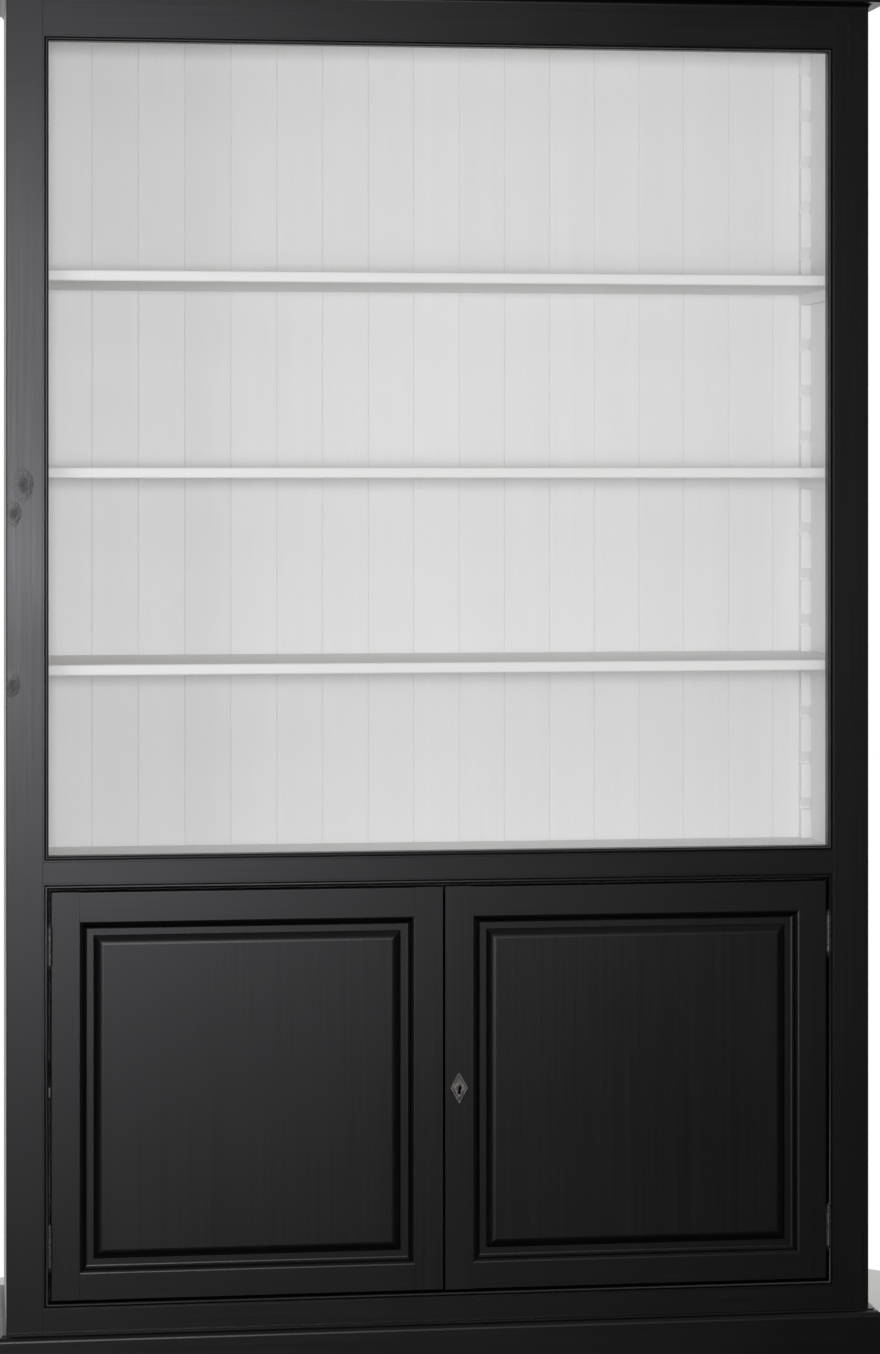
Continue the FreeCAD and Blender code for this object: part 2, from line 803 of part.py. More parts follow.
def keyhole_plate():
    """Diamond plate with bevelled edges and a sunk field round the keyhole."""
    plate = diamond_taper((0, plate_thickness - plate_bevel), (0, 0))
    plate = plate.fuse(diamond_taper((plate_bevel, plate_thickness), (0, plate_thickness - plate_bevel)))
    sunk = plate_thickness - plate_sink
    plate = plate.cut(diamond_taper((plate_rim, plate_thickness), (plate_rim + plate_sink, sunk)))
    plate = plate.cut(keyhole(face_y - plate_thickness, face_y))
    for z in plate_pin_heights():
        plate = plate.cut(plate_pin(z, screw_clearance))
    return plate.removeSplitter()


def bolt_centre_x():
    """Middle of the left door's meeting stile."""
    return -door_near - door_stile_width / 2


def bolt_levels():
    """Upper bolt's tip, and the limits of its two bridges, from the top down."""
    tip = door_high_z - bolt_tip_inset
    upper_low = tip - guide_margin - bridge_height
    lower_high = upper_low - 2 * knob_radius - bolt_travel - 2 * knob_play
    return tip, upper_low, lower_high


def bolt_bar_front():
    """Front face of the bolt's bar, just behind its plate."""
    return door_back_y + guide_plate_thickness + bolt_clearance


def upper_bolt():
    """Bolt at the top of the left door, drawn down, with a round knob between its bridges."""
    x = bolt_centre_x()
    tip, _, lower_high = bolt_levels()
    front = bolt_bar_front()
    bar = block(x - bolt_width / 2, x + bolt_width / 2, front, front + bolt_thickness, tip - bolt_length, tip)
    knob_z = lower_high + knob_play + knob_radius
    knob = rod(knob_radius, (x, front + bolt_thickness, knob_z), along_y, knob_length)
    return bar.fuse(knob).removeSplitter()


def upper_bolt_guide():
    """Plate on the back of the door with two bridges that the bolt slides through."""
    x = bolt_centre_x()
    tip, upper_low, lower_high = bolt_levels()
    low = lower_high - bridge_height - guide_margin
    guide = block(x - guide_width / 2, x + guide_width / 2, door_back_y,
                  door_back_y + guide_plate_thickness, low, tip)
    front = bolt_bar_front()
    room = bolt_width / 2 + bolt_clearance
    crown = front + bolt_thickness + bolt_clearance
    for bridge_low in (upper_low, lower_high - bridge_height):
        bridge_high = bridge_low + bridge_height
        bridge = block(x - room - bridge_wall, x + room + bridge_wall, door_back_y + guide_plate_thickness,
                       crown + bridge_wall, bridge_low, bridge_high)
        bridge = bridge.cut(block(x - room, x + room, door_back_y + guide_plate_thickness, crown,
                                  bridge_low, bridge_high))
        guide = guide.fuse(bridge)
    return guide.removeSplitter()


def carcass_nodes():
    """Pieces of the carcass."""
    nodes = {"side_panel_right": side_panel(), "back_boards": back_boards(), "face_stile_right": face_stile()}
    nodes["side_panel_left"] = mirrored(nodes["side_panel_right"])
    nodes["face_stile_left"] = mirrored(nodes["face_stile_right"])
    housed = inner_half + housing_depth
    for name, low in panel_levels().items():
        nodes[name] = block(-housed, housed, face_back_y, board_front_y, low, low + panel_thickness)
    for name, (low, high) in rail_spans().items():
        nodes[name] = face_rail(low, high)
    nodes["upper_opening_bead"] = opening_bead(upper_sill_z, upper_head_z)
    nodes["door_opening_bead"] = door_opening_bead()
    for name, section, reach, low, high in (
            ("plinth", plinth_section(), plinth_thickness, 0, plinth_height),
            ("cornice", cornice_section(), cornice_projection, cornice_z, carcass_top_z)):
        front, right = mitred_run(section, reach, low, high)
        nodes[name + "_front"] = front
        nodes[name + "_right"] = right
        nodes[name + "_left"] = mirrored(right)
    nodes["cornice_top_board"] = block(-half - cap_projection, half + cap_projection, face_y - cap_projection,
                                       back_y, carcass_top_z, carcass_top_z + cap_thickness)
    for name, root_y, inward in (("front", face_back_y, 1), ("back", board_front_y, -1)):
        strip = ladder_strip(root_y, inward)
        nodes["ladder_strip_" + name + "_right"] = strip
        nodes["ladder_strip_" + name + "_left"] = mirrored(strip)
    for name, under in shelf_levels().items():
        nodes[name + "_battens"] = both_sides(batten(under))
    nodes["cabinet_shelf_cleats"] = both_sides(cabinet_cleat())
    leaves = [hinge_leaf(centre, 0, 1) for centre in hinge_centres]
    nodes["hinge_frame_leaves"] = Part.makeCompound(leaves + [mirrored(leaf) for leaf in leaves])
    pins = [hinge_pin(centre) for centre in hinge_centres]
    nodes["hinge_pins"] = Part.makeCompound(pins + [mirrored(pin) for pin in pins])
    screws = all_hinge_screws(opening_half, 1, 0)
    nodes["hinge_frame_screws"] = Part.makeCompound(screws + [mirrored(screw) for screw in screws])
    return nodes


def shelf_nodes():
    """Loose shelves."""
    nodes = {name: open_shelf(under) for name, under in shelf_levels().items()}
    nodes["cabinet_shelf"] = cabinet_shelf()
    return nodes


def right_door_nodes():
    """Pieces of the right door that the left door has too, in the right door's place."""
    lower, upper = door_rail_spans()
    leaves = [hinge_leaf(centre, 1, -1) for centre in hinge_centres]
    return {
        "hinge_stile": hinge_stile(),
        "bottom_rail": door_rail(*lower),
        "top_rail": door_rail(*upper),
        "panel": door_panel(),
        "moulding": door_moulding(),
        "hinge_leaves": Part.makeCompound(leaves),
        "hinge_screws": Part.makeCompound(all_hinge_screws(door_far, -1, 0)),
    }


def door_nodes():
    """Pieces of both doors."""
    nodes = {}
    for name, shape in right_door_nodes().items():
        nodes["right_door_" + name] = shape
        nodes["left_door_" + name] = mirrored(shape)
    nodes["left_door_meeting_stile"] = mirrored(turned_inwards(door_stile(door_close_arris)))
    nodes["right_door_lock_stile"] = lock_stile()
    nodes["lock_case"] = lock_case()
    nodes["lock_bolt"] = lock_bolt()
    nodes["lock_screws"] = Part.makeCompound([lock_screw(x, z, 0) for x, z in lock_screw_places()])
    nodes["keyhole_plate"] = keyhole_plate()
    nodes["keyhole_plate_pins"] = Part.makeCompound([plate_pin(z, 0) for z in plate_pin_heights()])
    guide = upper_bolt_guide()
    bolt = upper_bolt()
    nodes["bolt_guides"] = Part.makeCompound([guide, flipped(guide, lock_z)])
    nodes["upper_bolt"] = bolt
    nodes["lower_bolt"] = flipped(bolt, lock_z)
    return nodes


os.makedirs("parts", exist_ok=True)
for node, shape in {**carcass_nodes(), **shelf_nodes(), **door_nodes()}.items():
    print(node, len(shape.Solids), "solids,", round(shape.Volume), "cubic mm, valid", shape.isValid())
    shape.exportStep("parts/" + node + ".step")
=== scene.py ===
import logging
import math
from dataclasses import dataclass, replace
from enum import Enum
from functools import reduce
from typing import Iterable, Optional, Sequence

import bpy
import numpy as np
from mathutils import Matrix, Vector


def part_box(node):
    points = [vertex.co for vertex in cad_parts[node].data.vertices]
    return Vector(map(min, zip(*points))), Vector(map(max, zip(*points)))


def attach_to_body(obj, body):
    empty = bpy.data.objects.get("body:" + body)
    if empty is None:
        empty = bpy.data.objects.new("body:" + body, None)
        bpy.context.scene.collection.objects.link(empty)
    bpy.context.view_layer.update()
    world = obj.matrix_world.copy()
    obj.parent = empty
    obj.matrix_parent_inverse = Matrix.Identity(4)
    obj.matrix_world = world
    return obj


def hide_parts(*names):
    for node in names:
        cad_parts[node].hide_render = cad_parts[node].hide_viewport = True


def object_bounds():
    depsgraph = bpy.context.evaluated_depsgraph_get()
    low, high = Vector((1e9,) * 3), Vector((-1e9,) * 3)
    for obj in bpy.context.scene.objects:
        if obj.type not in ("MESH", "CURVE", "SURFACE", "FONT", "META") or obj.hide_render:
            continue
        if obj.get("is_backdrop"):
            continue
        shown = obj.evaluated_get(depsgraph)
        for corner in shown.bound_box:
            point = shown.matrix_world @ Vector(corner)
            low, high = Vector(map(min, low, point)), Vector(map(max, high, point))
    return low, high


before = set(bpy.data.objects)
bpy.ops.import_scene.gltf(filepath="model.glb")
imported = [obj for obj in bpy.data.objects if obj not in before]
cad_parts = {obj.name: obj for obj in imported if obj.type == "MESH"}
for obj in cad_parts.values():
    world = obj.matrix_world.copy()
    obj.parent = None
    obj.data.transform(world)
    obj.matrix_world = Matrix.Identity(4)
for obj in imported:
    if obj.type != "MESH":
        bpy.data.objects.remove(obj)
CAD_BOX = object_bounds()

LOG = logging.getLogger("bookcase")
Flat = tuple[float, float]
Point = tuple[float, float, float]
Colour = tuple[float, float, float]
Corners = Sequence[Flat]
Row = Sequence[float]
Array = np.ndarray
Socket = bpy.types.NodeSocket


class Along(Enum):
    """Row axis that a section is carried along; the value puts (across, upward, along) into X, Y, Z order."""

    X = (2, 0, 1)
    Y = (0, 2, 1)
    Z = (0, 1, 2)


class Side(Enum):
    """Left or right half of the bookcase, as the sign of X."""

    LEFT = -1
    RIGHT = 1

    @property
    def word(self) -> str:
        """Name of the side as the nodes spell it."""
        return self.name.lower()


@dataclass
class Skin:
    """One closed skin: points, quads between its rings and the flat faces that close its ends."""

    points: Array
    quads: Array
    caps: list[list[int]]

    def volume(self) -> float:
        """Signed volume: the sum over all triangles of a . (b x c) / 6.

        Returns:
            The volume, negative when the faces point inwards.
        """
        fans = [np.array([(cap[0], *pair) for pair in zip(cap[1:], cap[2:])]) for cap in self.caps]
        triangles = np.concatenate([self.quads[:, [0, 1, 2]], self.quads[:, [0, 2, 3]], *fans])
        a, b, c = np.moveaxis(self.points[triangles], 1, 0)
        return float(np.einsum("ij,ij->i", a, np.cross(b, c)).sum() / 6)

    def outward(self) -> "Skin":
        """The same skin with its faces pointing outwards."""
        turn = 1 if self.volume() >= 0 else -1
        return Skin(self.points, self.quads[:, ::turn], [cap[::turn] for cap in self.caps])

    def mirrored(self) -> "Skin":
        """The skin's mirror image on the other side of the middle, faces outwards."""
        return Skin(self.points * np.array([-1.0, 1.0, 1.0]), self.quads, self.caps).outward()

    def on(self, side: Side) -> "Skin":
        """A right-hand skin, or its mirror image for the left."""
        return self if side is Side.RIGHT else self.mirrored()


def skin(rings: Array, loop: bool = False) -> Skin:
    """Joins rings of points into one closed skin.

    Formula: quad (i, j) joins points j and j + 1 of rings i and i + 1; the first and last ring are closed
    by a flat face each, or joined to each other.

    Args:
        rings: Points by ring, place on the ring and coordinate.
        loop: Whether the last ring goes on into the first.

    Returns:
        The skin, with its faces pointing outwards.
    """
    rows, columns = rings.shape[:2]
    number = np.arange(rows * columns).reshape(rows, columns)
    lower = number if loop else number[:-1]
    upper = np.roll(number, -1, axis=0) if loop else number[1:]
    quads = np.stack([lower, np.roll(lower, -1, 1), np.roll(upper, -1, 1), upper], axis=-1).reshape(-1, 4)
    caps = [] if loop else [number[0][::-1].tolist(), number[-1].tolist()]
    return Skin(rings.reshape(-1, 3), quads, caps).outward()


def rectangle(left: float, lower: float, right: float, upper: float) -> list[Flat]:
    """Corners of a rectangle, from the lower left one round."""
    return [(left, lower), (right, lower), (right, upper), (left, upper)]


def unit(vectors: Array) -> Array:
    """Rows of length one with the directions of the given rows."""
    return vectors / np.linalg.norm(vectors, axis=1, keepdims=True)


def mitres(outline: Array) -> Array:
    """Step that each corner takes when an outline is drawn in by one unit.

    Formula: with n and m the inward normals of the two edges at a corner, the step is (n + m) / (1 + n . m).

    Args:
        outline: Corners, in order round the outline.

    Returns:
        One step per corner.
    """
    following = np.roll(outline, -1, axis=0)
    edge = unit(following - outline)
    area = np.sum(outline[:, 0] * following[:, 1] - outline[:, 1] * following[:, 0])
    after = np.stack([-edge[:, 1], edge[:, 0]], axis=1) * math.copysign(1.0, area)
    before = np.roll(after, 1, axis=0)
    return (before + after) / (1 + np.sum(before * after, axis=1, keepdims=True))


def softened(corners: Corners, radius: float | Row, steps: int = 4) -> Array:
    """Rounds the corners of an outline.

    Formula: at each corner p, with a and b the points r / tan(half the corner's angle) away along its edges,
    the round is the parabola (1 - s)^2 a + 2 s (1 - s) p + s^2 b.

    Args:
        corners: Corners, in order round the outline.
        radius: Radius of all rounds, or one for each corner.
        steps: Lines in each round.

    Returns:
        Points of the rounded outline.
    """
    point = np.asarray(corners, float)
    back = unit(np.roll(point, 1, axis=0) - point)
    ahead = unit(np.roll(point, -1, axis=0) - point)
    cosine = np.sum(back * ahead, axis=1)
    reach = np.broadcast_to(radius, len(point)) * np.sqrt((1 + cosine) / (1 - cosine))
    s = np.linspace(0, 1, steps + 1)[None, :, None]
    start = (point + back * reach[:, None])[:, None]
    end = (point + ahead * reach[:, None])[:, None]
    return ((1 - s) ** 2 * start + 2 * s * (1 - s) * point[:, None] + s**2 * end).reshape(-1, 2)


def arc(centre: Flat, radius: float, start: float, end: float, steps: int = 10) -> list[Flat]:
    """Points on a circle: centre + radius (cos t, sin t), with t in degrees from start to end."""
    t = np.radians(np.linspace(start, end, steps + 1))
    return list(zip(centre[0] + radius * np.cos(t), centre[1] + radius * np.sin(t)))


def bow(start: Flat, end: Flat, swell: float, steps: int = 10) -> list[Flat]:
    """Points on a shallow curve.

    Formula: the chord from start to end plus swell times 4 s (1 - s) across it.

    Args:
        start: First point.
        end: Last point.
        swell: Height of the curve over its chord.
        steps: Lines in the curve.

    Returns:
        The points, both ends among them.
    """
    a, b = np.array(start), np.array(end)
    s = np.linspace(0, 1, steps + 1)[:, None]
    across = np.array([b[1] - a[1], a[0] - b[0]]) / np.linalg.norm(b - a)
    return [tuple(p) for p in a + s * (b - a) + 4 * s * (1 - s) * swell * across]


def eased(low: float, high: float, ease: float, steps: int = 3) -> Array:
    """Layers of a length whose two ends are drawn in along a quarter circle.

    Formula: inset = ease (1 - sin t) at low + ease (1 - cos t), with t from 0 to a right angle, and the same
    in reverse at the high end.

    Args:
        low: Where the length starts.
        high: Where it ends.
        ease: Radius of the quarter circle.
        steps: Lines in the quarter circle.

    Returns:
        Rows of inset and place.
    """
    turn = np.linspace(0, math.pi / 2, steps + 1)
    inset = ease * (1 - np.sin(turn))
    rise = ease * (1 - np.cos(turn))
    places = np.concatenate([low + rise, high - rise[::-1]])
    return np.stack([np.concatenate([inset, inset[::-1]]), places], axis=1)


def stacked(flat: Array, place: Array, along: Along, loop: bool = False) -> Skin:
    """Joins flat rings, each at its place along an axis, into a closed skin."""
    depth = np.broadcast_to(place[:, None, None], flat.shape[:2] + (1,))
    return skin(np.concatenate([flat, depth], axis=2)[..., along.value], loop)


def layered(outline: Array, layers: Array, along: Along) -> Skin:
    """Carries an outline along an axis and draws it in by each layer's inset.

    Formula: corner i of ring k is outline_i + inset_k mitre_i, at place_k along the axis.

    Args:
        outline: Points of the outline.
        layers: Rows of inset and place.
        along: The axis.

    Returns:
        A closed skin.
    """
    inset, place = np.asarray(layers, float).T
    return stacked(outline[None] + inset[:, None, None] * mitres(outline)[None], place, along)


def board(low: Row, high: Row, along: Along, arris: float | Row, ease: float) -> Skin:
    """A sawn board: a rectangle with rounded corners carried along its grain.

    Args:
        low: Lowest corner.
        high: Highest corner.
        along: Direction of the grain.
        arris: Radius of the long edges, or one for each corner of the section.
        ease: Radius of the edges of both ends.

    Returns:
        A closed skin.
    """
    across, upward, length = (along.value.index(i) for i in range(3))
    corners = rectangle(low[across], low[upward], high[across], high[upward])
    return layered(softened(corners, arris), eased(low[length], high[length], ease), along)


def turned(profile: Corners, centre: Flat, bored: bool = False, segments: int = 40) -> Skin:
    """Turns a profile round an upright axis.

    Formula: ring k is centre + r_k (cos t, sin t) at height_k.

    Args:
        profile: Radius and height, from one end to the other, or round the wall of a tube.
        centre: Where the axis stands.
        bored: Whether the profile is the wall of a tube.
        segments: Lines in each ring.

    Returns:
        A closed skin.
    """
    radius, height = np.asarray(profile, float).T
    circle = np.array(arc((0.0, 0.0), 1.0, 0, 360, segments)[:-1])
    return stacked(np.asarray(centre) + radius[:, None, None] * circle[None], height, Along.Z, bored)


def framed(section: Array, low: Flat, high: Flat, face: float) -> Skin:
    """Carries a moulding round the inside of a rectangle, mitred at its corners.

    Formula: section point (s, d) lies s inside each of the two sides at a corner, and d behind the face.

    Args:
        section: Closed section of inward and backward distances.
        low: Lower left corner of the rectangle.
        high: Upper right corner.
        face: Where the face lies along Y.

    Returns:
        A closed skin.
    """
    inward, depth = section.T
    corners = rectangle(low[0] + inward, low[1] + inward, high[0] - inward, high[1] - inward)
    return skin(np.stack([np.stack([x, face + depth, z], axis=1) for x, z in corners]), loop=True)


class Graph:
    """Nodes of a material or of the world, with short ways to add and join them."""

    def __init__(self, owner: bpy.types.ID, shader: str = "Principled BSDF") -> None:
        """Takes over a new owner's nodes and its shader."""
        owner.use_nodes = True
        self.tree, self.shader = owner.node_tree, owner.node_tree.nodes[shader]

    def feed(self, node: bpy.types.Node, inputs: dict) -> None:
        """Fills sockets of a node.

        Args:
            node: The node.
            inputs: Values, or outputs to link, by name or number of the socket.
        """
        for name, value in inputs.items():
            if isinstance(value, Socket):
                self.tree.links.new(value, node.inputs[name])
            else:
                node.inputs[name].default_value = value

    def add(self, kind: str, inputs: Optional[dict] = None, **settings: object) -> bpy.types.Node:
        """Adds a node.

        Args:
            kind: Blender's name of the node.
            inputs: What fills its sockets.
            settings: Properties of the node.

        Returns:
            The node.
        """
        node = self.tree.nodes.new(kind)
        for name, value in settings.items():
            setattr(node, name, value)
        self.feed(node, inputs or {})
        return node

    def place(self, scale: Row) -> Socket:
        """Object coordinates, scaled along each axis."""
        spot = self.add("ShaderNodeTexCoord").outputs["Object"]
        return self.add("ShaderNodeMapping", {"Vector": spot, "Scale": tuple(scale)}).outputs["Vector"]

    def noise(self, scale: Row, detail: float, rough: float = 0.55) -> Socket:
        """Noise over object coordinates, stretched by the scale of each axis."""
        inputs = {"Vector": self.place(scale), "Scale": 1.0, "Detail": detail, "Roughness": rough}
        return self.add("ShaderNodeTexNoise", inputs).outputs["Fac"]

    def span(self, value: Socket, source: Flat, target: Flat = (0.0, 1.0)) -> Socket:
        """A value moved from one range to another and held inside it."""
        inputs = {"From Min": source[0], "From Max": source[1], "To Min": target[0], "To Max": target[1]}
        return self.add("ShaderNodeMapRange", {"Value": value, **inputs}).outputs["Result"]

    def sums(self, operation: str, first: object, second: object) -> Socket:
        """One step of arithmetic."""
        return self.add("ShaderNodeMath", {0: first, 1: second}, operation=operation).outputs[0]

    def weighed(self, *terms: tuple[Socket, float]) -> Socket:
        """Sum of outputs, each times its weight."""
        parts = [self.sums("MULTIPLY", value, weight) for value, weight in terms]
        return reduce(lambda total, part: self.sums("ADD", total, part), parts)

    def blend(self, share: Socket, first: object, second: object) -> Socket:
        """A mix of two colours, each a tuple or an output."""
        first, second = ((*c, 1.0) if isinstance(c, tuple) else c for c in (first, second))
        return self.add("ShaderNodeMix", {"Factor": share, 6: first, 7: second}, data_type="RGBA").outputs[2]

    def bump(self, heights: Iterable[tuple[Socket, float]]) -> None:
        """Adds height fields to the shader's normal.

        Args:
            heights: The fields, each with its depth in metres.
        """
        normal = {}
        for height, depth in heights:
            inputs = {"Height": height, "Distance": depth, "Strength": 1.0, **normal}
            normal = {"Normal": self.add("ShaderNodeBump", inputs).outputs["Normal"]}
        self.feed(self.shader, normal)


def stretched(along: Along, across: float, length: float) -> Point:
    """Scale of a pattern that runs along an axis."""
    return tuple(length if i == along.value.index(2) else across for i in range(3))


@dataclass(frozen=True)
class Knot:
    """A knot that shows through the paint; its core and ring fade out between two shares of its radius."""

    centre: Point
    radius: float
    core: Flat = (0.6, 1.6)
    ring: Flat = (1.1, 2.6)
    wobble: float = 0.9
    wobble_scale: float = 210.0
    squeeze: float = 0.62

    def masks(self, graph: Graph, along: Along) -> list[Socket]:
        """Core and raised ring, from the distance to the centre.

        Args:
            graph: The material's nodes.
            along: Direction of the grain, in which the knot is longer.

        Returns:
            Mask of the core, and height of the ring.
        """
        spot = graph.place((1, 1, 1))
        squeeze = stretched(along, 1.0, self.squeeze)
        for operation, value in (("SUBTRACT", self.centre), ("MULTIPLY", squeeze)):
            spot = graph.add("ShaderNodeVectorMath", {0: spot, 1: value}, operation=operation).outputs[0]
        length = graph.add("ShaderNodeVectorMath", {0: spot}, operation="LENGTH").outputs["Value"]
        edge = graph.noise([self.wobble_scale] * 3, 2.0)
        reach = graph.weighed((length, 1.0), (edge, self.radius * self.wobble))
        return [graph.span(reach, (self.radius * near, self.radius * far), (1.0, 0.0))
                for near, far in (self.core, self.ring)]


@dataclass(frozen=True)
class Finish:
    """What every finish has: its slot in the record, two tones and the range of its roughness."""

    name: str
    slot: str
    base: Colour
    deep: Colour
    sheen: Flat

    def fill(self, graph: Graph, along: Along) -> None:
        """Makes the nodes of the finish along an axis."""
        raise NotImplementedError

    def material(self, along: Along) -> bpy.types.Material:
        """The finish on a piece whose grain or scratches run along an axis.

        Args:
            along: Direction of the grain or the scratches.

        Returns:
            The material, made once for each direction.
        """
        name = f"{self.name}_{along.name}"
        if name not in bpy.data.materials:
            self.fill(Graph(bpy.data.materials.new(name)), along)
        return bpy.data.materials[name]


@dataclass(frozen=True)
class Paint(Finish):
    """Satin paint over pine: faint grain, brush marks, uneven sheen and covered knots."""

    grain_depth: float = 0.00006
    brush_depth: float = 0.00002
    knots: tuple[Knot, ...] = ()
    knot_height: float = 0.0005
    knot_tone: float = 0.5
    grain: Flat = (150.0, 3.0)
    figure: Flat = (26.0, 1.1)
    brush: Flat = (520.0, 9.0)
    cloud: float = 3.2

    def fill(self, graph: Graph, along: Along) -> None:
        """Makes the nodes of the paint.

        Args:
            graph: The material's nodes.
            along: Direction of the grain.
        """
        grain = graph.noise(stretched(along, *self.grain), 5.0, 0.6)
        figure = graph.noise(stretched(along, *self.figure), 3.0)
        brush = graph.noise(stretched(along, *self.brush), 2.0)
        cloud = graph.noise([self.cloud] * 3, 2.0)
        tone = graph.add("ShaderNodeAttribute", attribute_name="tone").outputs["Fac"]
        share = graph.span(graph.weighed((grain, 0.45), (figure, 0.55), (tone, 0.12)), (0.36, 0.68))
        colour = graph.blend(share, self.deep, self.base)
        rough = graph.span(graph.weighed((grain, 0.5), (cloud, 0.5)), (0.3, 0.7), self.sheen)
        heights = [(figure, self.grain_depth * 2), (grain, self.grain_depth), (brush, self.brush_depth)]
        stain = tuple(self.knot_tone * c for c in self.deep)
        for knot in self.knots:
            core, ring = knot.masks(graph, along)
            colour = graph.blend(graph.sums("MULTIPLY", core, 0.7), colour, stain)
            rough = graph.weighed((rough, 1.0), (core, 0.1))
            heights.append((ring, self.knot_height))
        graph.feed(graph.shader, {"Base Color": colour, "Roughness": rough})
        graph.bump(heights)


@dataclass(frozen=True)
class Metal(Finish):
    """Worn metal: cloudy tone, fine scratches and a duller skin in places."""

    metallic: float = 1.0
    pitting: float = 0.00005
    cloud: float = 260.0
    scratch: Flat = (2600.0, 160.0)
    scratch_share: float = 0.3

    def fill(self, graph: Graph, along: Along) -> None:
        """Makes the nodes of the metal.

        Args:
            graph: The material's nodes.
            along: Direction of the scratches.
        """
        cloud = graph.noise([self.cloud] * 3, 4.0, 0.6)
        scratch = graph.noise(stretched(along, *self.scratch), 2.0)
        colour = graph.blend(graph.span(cloud, (0.38, 0.62)), self.deep, self.base)
        rough = graph.span(graph.weighed((cloud, 0.6), (scratch, 0.4)), (0.3, 0.7), self.sheen)
        graph.feed(graph.shader, {"Base Color": colour, "Roughness": rough, "Metallic": self.metallic})
        graph.bump([(cloud, self.pitting), (scratch, self.pitting * self.scratch_share)])


LEFT_STILE_KNOTS = (Knot((-0.6735, -0.146, 1.442), 0.008), Knot((-0.689, -0.146, 1.397), 0.006),
                    Knot((-0.691, -0.146, 1.127), 0.006))
BLACK = Paint("satin_black", "black_paint", (0.0026, 0.0019, 0.0021), (0.0016, 0.0012, 0.0013), (0.335, 0.4))
BLACK_KNOTTY = replace(BLACK, name="satin_black_knotty", knots=LEFT_STILE_KNOTS)
WHITE = Paint("satin_white", "white_paint", (0.87, 0.87, 0.868), (0.845, 0.842, 0.838), (0.42, 0.56))
IRON = Metal("dark_iron", "dark_iron", (0.16, 0.155, 0.148), (0.07, 0.067, 0.064), (0.34, 0.52), metallic=0.9)
PEWTER = Metal("pewter", "pewter", (0.30, 0.285, 0.26), (0.14, 0.132, 0.12), (0.34, 0.5), pitting=0.00006)
STEEL = Metal("plain_steel", "steel", (0.5, 0.5, 0.51), (0.36, 0.36, 0.37), (0.25, 0.4), pitting=0.00003)


def put(name: str, data: bpy.types.ID) -> bpy.types.Object:
    """Adds an object that holds a mesh, a light or a camera to the scene, at the origin."""
    bpy.context.scene.collection.objects.link(thing := bpy.data.objects.new(name, data))
    return thing


def attach(name: str, skins: Sequence[Skin], node: str, finish: Finish, along: Along = Along.Z,
           body: str = "carcass", inside: Optional[float] = None, sharp: float = 38.0) -> None:
    """Makes one piece of some skins and sets it in the frame.

    Args:
        name: Name of the piece.
        skins: Its closed skins.
        node: CAD node that it stands for.
        finish: Its finish.
        along: Direction of the finish.
        body: CAD body that it rides on.
        inside: Distance from the bookcase's middle within which its faces are white.
        sharp: Angle in degrees over which an edge stays sharp.
    """
    counts = [len(s.points) for s in skins]
    points = np.concatenate([s.points for s in skins])
    faces = [face for s, start in zip(skins, np.cumsum([0] + counts))
             for face in (s.quads + start).tolist() + [[i + start for i in cap] for cap in s.caps]]
    mesh = bpy.data.meshes.new(name)
    mesh.from_pydata(points.tolist(), [], faces)
    tones = np.random.default_rng(len(name) + len(points)).uniform(-1, 1, len(skins))
    tones = np.repeat(tones, counts).astype(np.float32)
    mesh.attributes.new("tone", "FLOAT", "POINT").data.foreach_set("value", tones)
    mesh.materials.append(finish.material(along))
    if inside is not None:
        mesh.materials.append(WHITE.material(along))
        middles = np.array([p.center for p in mesh.polygons])
        mesh.polygons.foreach_set("material_index", (np.abs(middles[:, 0]) < inside).astype(np.int32))
    mesh.shade_smooth()
    mesh.set_sharp_from_angle(angle=math.radians(sharp))
    piece = put(name, mesh)
    piece.modifiers.new("face_weights", "WEIGHTED_NORMAL").keep_sharp = True
    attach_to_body(piece, body)
    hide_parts(node)
    LOG.info("%s: %d points, on %s", name, len(points), body)


def dress(node: str, finish: Finish, along: Along = Along.Z) -> None:
    """Gives a CAD node that keeps its own shape a finish.

    Args:
        node: The node.
        finish: The finish.
        along: Direction of the finish.
    """
    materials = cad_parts[node].data.materials
    materials.clear()
    materials.append(finish.material(along))
    LOG.info("%s: kept, %s", node, finish.name)


